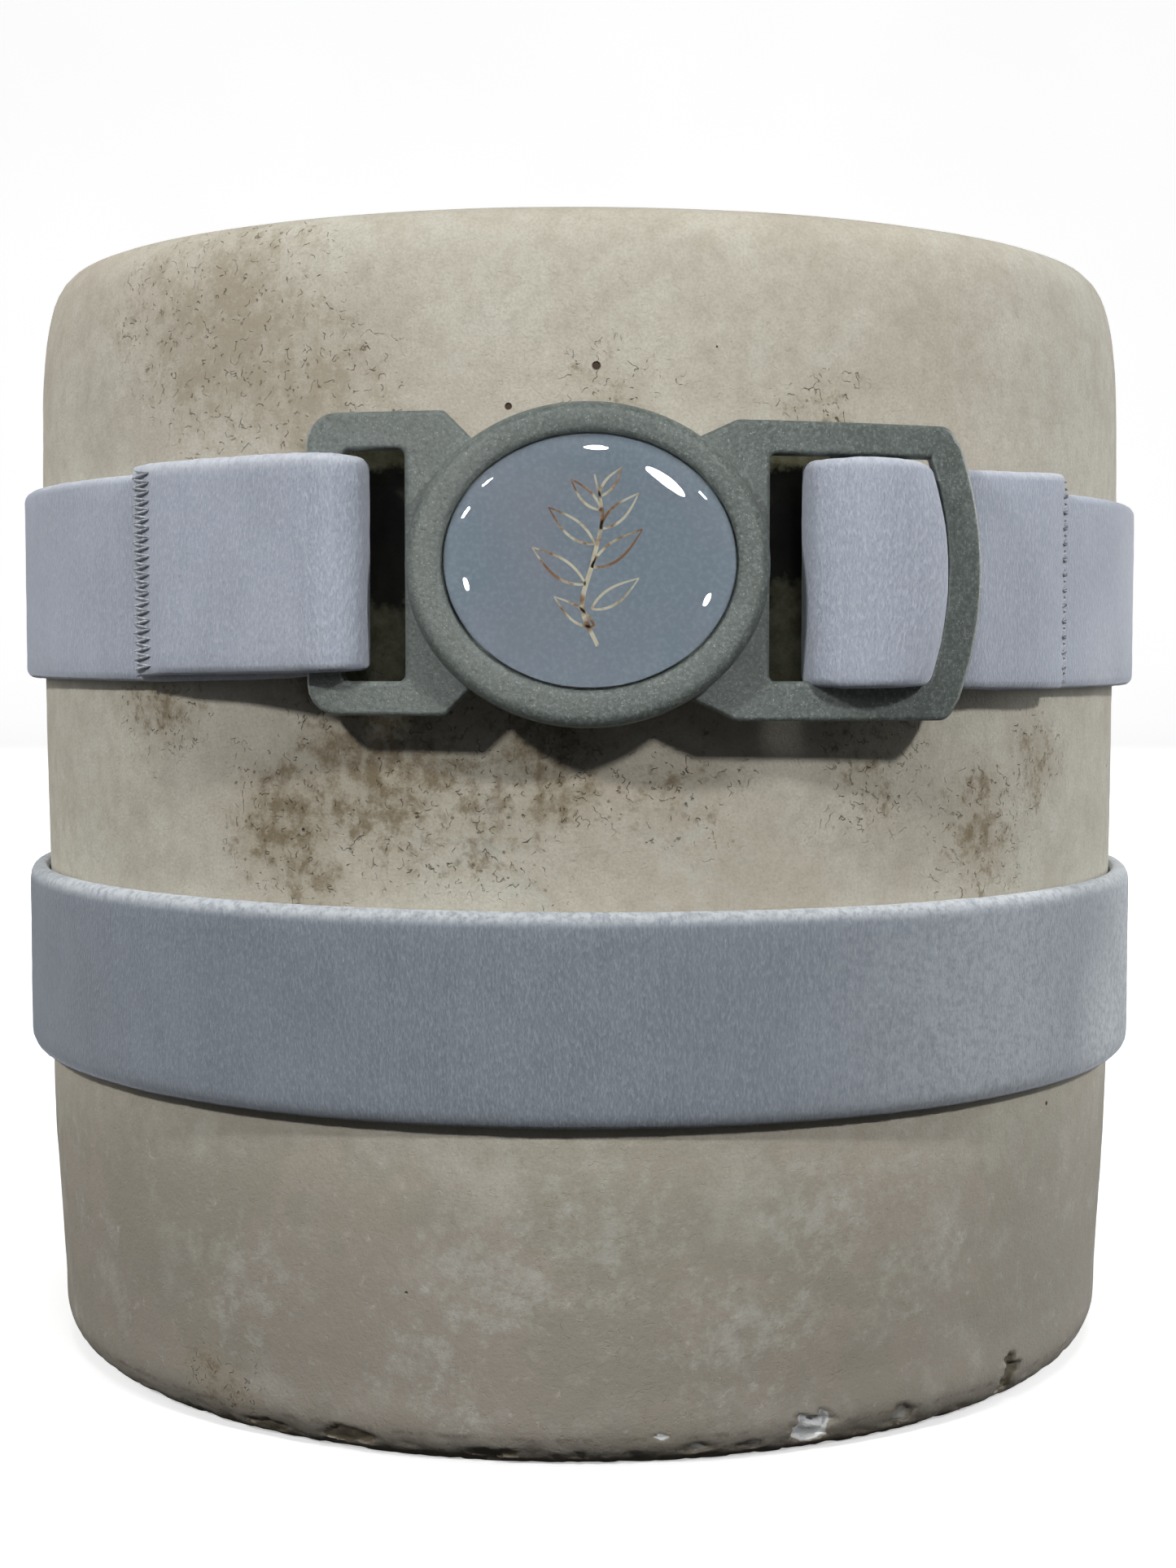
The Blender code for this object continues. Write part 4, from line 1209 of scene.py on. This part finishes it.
def clasp_bezel():
    """The oval dish that carries the badge: a rounded rim round a flat recess."""
    outer = ((BEZEL_BOX[1].x - BEZEL_BOX[0].x) / 2, (BEZEL_BOX[1].z - BEZEL_BOX[0].z) / 2)
    inner = ((BADGE_BOX[1].x - BADGE_BOX[0].x) / 2 + GAP, (BADGE_BOX[1].z - BADGE_BOX[0].z) / 2 + GAP)
    shift = (
        (BADGE_BOX[0].x + BADGE_BOX[1].x) / 2 - CLASP_X,
        (BADGE_BOX[0].z + BADGE_BOX[1].z) / 2 - CLASP_Z,
    )
    front = BEZEL_BOX[0].y
    floor = BADGE_BOX[1].y + GAP
    back_radius = FRAME_OUTER + GAP
    # (share of the way from the outer oval to the inner one, depth from the front)
    rim = [(0.0, 0.0026), (0.0, 0.0016)]
    for step in range(1, 9):
        angle = math.radians(90.0 * step / 8)
        rim.append((0.34 * (1 - math.cos(angle)), 0.0016 * (1 - math.sin(angle))))
    rim += [(0.55, 0.00002), (0.74, 0.0001)]
    for step in range(1, 6):
        angle = math.radians(90.0 * step / 5)
        rim.append((0.74 + 0.26 * math.sin(angle), 0.0001 + 0.0007 * (1 - math.cos(angle))))
    vertices = []
    for step in range(OVAL_STEPS):
        angle = 2 * math.pi * step / OVAL_STEPS
        outer_x, outer_z = oval_point(angle, outer)
        inner_x, inner_z = oval_point(angle, inner, shift)
        back = CLASP_AXIS_Y - math.sqrt(back_radius ** 2 - (outer_x - CLASP_X) ** 2)
        column = []
        for share in (0.02, 0.35, 0.70, 1.0):
            x = CLASP_X + (outer_x - CLASP_X) * share
            z = CLASP_Z + (outer_z - CLASP_Z) * share
            column.append((x, CLASP_AXIS_Y - math.sqrt(back_radius ** 2 - (x - CLASP_X) ** 2), z))
        for share, depth in rim:
            x = outer_x + (inner_x - outer_x) * share
            z = outer_z + (inner_z - outer_z) * share
            y = min(front + depth, back - 0.0001)
            column.append((x, y, z))
        column.append((inner_x, floor, inner_z))
        for share in (0.66, 0.33, 0.02):
            x = CLASP_X + shift[0] + (inner_x - CLASP_X - shift[0]) * share
            z = CLASP_Z + shift[1] + (inner_z - CLASP_Z - shift[1]) * share
            column.append((x, floor, z))
        vertices += column
    count = len(vertices) // OVAL_STEPS
    faces = []
    for step in range(OVAL_STEPS):
        a = step * count
        b = ((step + 1) % OVAL_STEPS) * count
        for row in range(count - 1):
            faces.append((a + row, a + row + 1, b + row + 1, b + row))
    faces.append(tuple(step * count for step in range(OVAL_STEPS)))
    faces.append(tuple(step * count + count - 1 for step in range(OVAL_STEPS)))
    obj = close_up(new_object("badge_ring", vertices, faces), 35.0)
    settle(obj, CLASP, "clasp_bezel", "mold_front")


def disc(name, centre, size, profile, steps=OVAL_STEPS):
    """A stretched turned piece that faces the front: profile is (share of the size, y)."""
    vertices = [(centre[0], profile[0][1], centre[1])]
    for share, y in profile[1:-1]:
        for step in range(steps):
            angle = 2 * math.pi * step / steps
            x = centre[0] + size[0] * share * math.cos(angle)
            vertices.append((x, y, centre[1] + size[1] * share * math.sin(angle)))
    vertices.append((centre[0], profile[-1][1], centre[1]))
    return close_up(new_object(name, vertices, closed_faces(len(profile) - 2, steps)), 50.0)


def badge():
    low, high = BADGE_BOX
    centre = ((low.x + high.x) / 2, (low.z + high.z) / 2)
    size = ((high.x - low.x) / 2, (high.z - low.z) / 2)
    ease = 0.0001
    plate = disc("badge_face", centre, size, [
        (0.0, low.y), (0.5, low.y), (0.985, low.y), (1.0, low.y + ease), (1.0, high.y - ease),
        (0.985, high.y), (0.0, high.y),
    ])
    settle(plate, BADGE, "badge_plate", "mold_front")

    low, high = DOME_BOX
    edge = high.y - DOME_RIM
    rise = edge - low.y
    profile = [(0.0, low.y)]
    for step in range(1, DOME_RINGS + 1):
        angle = math.radians(90.0 * step / DOME_RINGS)
        profile.append((math.sin(angle), edge - rise * math.cos(angle) ** 0.9))
    bonded = BADGE_BOX[0].y + DOME_BOND
    profile += [(1.0, high.y), (0.992, high.y), (0.985, bonded), (0.0, bonded)]
    dome = disc("badge_lens", centre, size, profile, 2 * OVAL_STEPS)
    settle(dome, RESIN, "badge_dome", "mold_front")
    sprig(centre, BADGE_BOX[0].y)


def ribbon(points, widths):
    """Both edges of a flat stroke through (x, z) points."""
    left = []
    right = []
    for i, point in enumerate(points):
        before = Vector(points[max(0, i - 1)])
        after = Vector(points[min(len(points) - 1, i + 1)])
        along = (after - before).normalized()
        across = Vector((-along.y, along.x)) * widths[i] / 2
        left.append(Vector(point) + across)
        right.append(Vector(point) - across)
    return left, right


def sprig(centre, plate_y):
    """A plain leafy sprig in thin strokes, printed on the badge."""
    ink_thickness = 0.00004
    strokes = []
    stem = [(0.0010, -0.0110), (-0.0010, -0.0060), (0.0004, 0.0), (0.0016, 0.0060), (0.0006, 0.0112)]
    strokes.append((smooth_line(stem, 0.0005), 0.00062, 0.00022))
    leaves = [
        (0.0006, -0.0085, 148.0, 0.0062), (0.0002, -0.0062, 28.0, 0.0070), (-0.0006, -0.0030, 150.0, 0.0080),
        (0.0002, -0.0008, 32.0, 0.0078), (0.0006, 0.0022, 146.0, 0.0072), (0.0013, 0.0042, 38.0, 0.0064),
        (0.0014, 0.0066, 138.0, 0.0052), (0.0012, 0.0084, 48.0, 0.0044),
    ]
    for x, z, degrees, length in leaves:
        angle = math.radians(degrees)
        along = Vector((math.cos(angle), math.sin(angle)))
        across = Vector((-along.y, along.x))
        for bulge in (0.30, -0.30):
            side = []
            for step in range(13):
                t = step / 12
                swell = math.sin(math.pi * t ** 0.85) * bulge * length * 0.5
                lift = 0.10 * length * t * t
                point = Vector((x, z)) + along * length * t + across * swell + Vector((0.0, lift))
                side.append(tuple(point))
            strokes.append((side, 0.00036, 0.00016))
    vertices = []
    faces = []
    for points, wide, narrow in strokes:
        widths = []
        for i in range(len(points)):
            t = i / (len(points) - 1)
            widths.append(narrow + (wide - narrow) * math.sin(math.pi * min(1.0, 0.25 + 0.75 * t)))
        left, right = ribbon(points, widths)
        base = len(vertices)
        for a, b in zip(left, right):
            for point, lift in ((a, 0.0), (b, 0.0), (b, ink_thickness), (a, ink_thickness)):
                vertices.append((centre[0] + point[0], plate_y - lift, centre[1] + point[1]))
        for i in range(len(points) - 1):
            for side in range(4):
                after = (side + 1) % 4
                a = base + i * 4
                faces.append((a + side, a + after, a + 4 + after, a + 4 + side))
        faces.append((base, base + 1, base + 2, base + 3))
        end = base + (len(points) - 1) * 4
        faces.append((end, end + 1, end + 2, end + 3))
    obj = give(close_up(new_object("badge_sprig", vertices, faces)), SPRIG)
    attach(obj, "mold_front")


# ---------------------------------------------------------------- camera, floor and light

LENS_MM = 53.08
SENSOR_MM = 36.0
CAMERA_PLACE = (0.0014, -0.4049, 0.1152)
LOOKS_DOWN = 3.41           # degrees


def camera():
    data = bpy.data.cameras.new("camera")
    data.lens = LENS_MM
    data.sensor_width = SENSOR_MM
    data.clip_start = 0.01
    obj = bpy.data.objects.new("camera", data)
    obj.location = CAMERA_PLACE
    obj.rotation_euler = (math.radians(90.0 - LOOKS_DOWN), 0.0, 0.0)
    bpy.context.scene.collection.objects.link(obj)
    bpy.context.scene.camera = obj


def floor():
    """A pale floor that sweeps up into a wall all round, and gives no light back to the mold."""
    flat, bend, top, steps = 2.4, 1.2, 3.4, 96
    profile = [(0.6, 0.0), (flat, 0.0)]
    for step in range(1, 25):
        angle = math.radians(90.0 * step / 24)
        profile.append((flat + bend * math.sin(angle), bend * (1 - math.cos(angle))))
    profile.append((flat + bend, top))
    vertices = [(0.0, 0.0, 0.0)]
    for radius, z in profile:
        for step in range(steps):
            angle = 2 * math.pi * step / steps
            vertices.append((radius * math.cos(angle), radius * math.sin(angle), z))
    faces = [(0, 1 + step, 1 + (step + 1) % steps) for step in range(steps)]
    for ring in range(len(profile) - 1):
        for step in range(steps):
            a = 1 + ring * steps + step
            b = 1 + ring * steps + (step + 1) % steps
            faces.append((a, a + steps, b + steps, b))
    obj = new_object("floor", vertices, faces)
    obj.data.shade_smooth()
    n = Nodes("floor_paint")
    tone = n.noise(3.0, 2.0)
    colour = n.mix(n.ramp(tone, 0.3, 0.7), (0.900, 0.900, 0.900), (0.880, 0.880, 0.880))
    n.set(Emission_Color=(1.0, 1.0, 1.0, 1.0), Emission_Strength=0.45, Specular_IOR_Level=0.2)
    give(obj, n.finish(colour, n.ramp(tone, 0.3, 0.7, 0.85, 0.95)))
    obj.visible_diffuse = False
    obj.visible_glossy = False


def area_light(name, place, target, size, power, turn=0.0):
    """A lamp aimed at a point, turned about its own direction by some degrees."""
    data = bpy.data.lights.new(name, "AREA")
    data.shape = "ELLIPSE"
    data.size = size[0]
    data.size_y = size[1]
    data.energy = power
    obj = bpy.data.objects.new(name, data)
    obj.location = place
    aim = (Vector(target) - Vector(place)).to_track_quat("-Z", "Y").to_matrix()
    obj.rotation_euler = (aim @ Matrix.Rotation(math.radians(turn), 3, "Z")).to_euler()
    bpy.context.scene.collection.objects.link(obj)
    return obj


def lights():
    """Two keys high on the left and right, one overhead and two behind; small lamps that only glint."""
    world = bpy.data.worlds.new("studio")
    world.use_nodes = True
    background = world.node_tree.nodes["Background"]
    background.inputs["Color"].default_value = (0.95, 0.97, 1.0, 1.0)
    background.inputs["Strength"].default_value = 0.05
    bpy.context.scene.world = world
    clasp = (0.0, -0.10, 0.125)
    for name, place, size, power in [
        ("key_left", (-0.63, -0.90, 0.76), (0.10, 0.10), 7.9),
        ("key_right", (0.62, -0.92, 0.73), (0.10, 0.10), 7.7),
        ("overhead", (0.02, -0.50, 0.82), (0.24, 0.16), 1.2),
    ]:
        area_light(name, place, clasp, size, power).visible_glossy = False
    area_light("side_left", (-1.02, 0.42, 0.35), clasp, (0.5, 0.9), 5.5)
    area_light("side_right", (1.02, 0.40, 0.30), clasp, (0.5, 0.9), 8.0)
    for name, place, size, power, turn in [
        ("top_glint", (0.02, -0.89, 0.57), (0.070, 0.075), 1.2, 0.0),
        ("tube_glint", (0.183, -0.946, 0.40), (0.070, 0.130), 1.6, 38.0),
        ("left_high_glint", (-0.355, -0.845, 0.51), (0.070, 0.045), 1.0, 0.0),
        ("right_high_glint", (0.38, -0.867, 0.44), (0.060, 0.040), 0.8, 0.0),
        ("left_glint", (-0.42, -0.87, 0.37), (0.090, 0.050), 1.0, 0.0),
        ("low_left_glint", (-0.33, -0.95, 0.08), (0.050, 0.045), 0.5, 0.0),
        ("low_right_glint", (0.31, -0.95, 0.03), (0.050, 0.045), 0.5, 0.0),
    ]:
        lamp = area_light(name, place, clasp, size, power, turn)
        lamp.visible_diffuse = False
        lamp.visible_transmission = False
    area_light("backdrop", (0.0, 0.70, 1.70), (0.0, 2.70, 0.60), (2.4, 1.0), 50.0)
    bpy.context.scene.view_settings.view_transform = "Standard"


# ---------------------------------------------------------------- the object

PLASTER = plaster_material()
# worn spots as (degrees, height, radius, amount); those at the far right, at 78 and 90 degrees, are partly
# painted sheen
UPPER_WEBBING = webbing_material(
    "upper_webbing", (0.405, 0.442, 0.525), (0.590, 0.625, 0.690), (0.680, 0.710, 0.750),
    [(78.0, 0.1250, 0.030, 0.9), (60.0, 0.1130, 0.014, 0.4), (-22.0, 0.1150, 0.014, 0.4)],
)
# painted shade: the lower webbing is the upper's cloth in darker colours, for the light that falls off low
# down
LOWER_WEBBING_SHADED = webbing_material(
    "lower_webbing_shaded", (0.214, 0.242, 0.280), (0.348, 0.388, 0.435), (0.700, 0.740, 0.760),
    [(90.0, 0.0660, 0.074, 1.4), (64.0, 0.0560, 0.030, 0.8), (42.0, 0.0640, 0.056, 0.34)],
)
THREAD = thread_material("thread", (0.480, 0.510, 0.560))
CLASP = clasp_material()
BADGE = badge_material()
SPRIG = sprig_material()
RESIN = dome_material()
PEG_PLASTIC = key_material("peg_plastic", (0.740, 0.720, 0.650))
SOCKET_PLASTIC = key_material("socket_plastic", (0.210, 0.310, 0.430))

plaster_half("plaster_front", "mold_front_half", "mold_front", -1, [f"natch_peg_{n}" for n in NATCHES])
plaster_half("plaster_back", "mold_back_half", "mold_back", 1, [f"natch_socket_{n}" for n in NATCHES])
base_plug()
natch_pieces()
belts()
seams()
clasp_left()
clasp_right()
clasp_bezel()
badge()
floor()
camera()
lights()
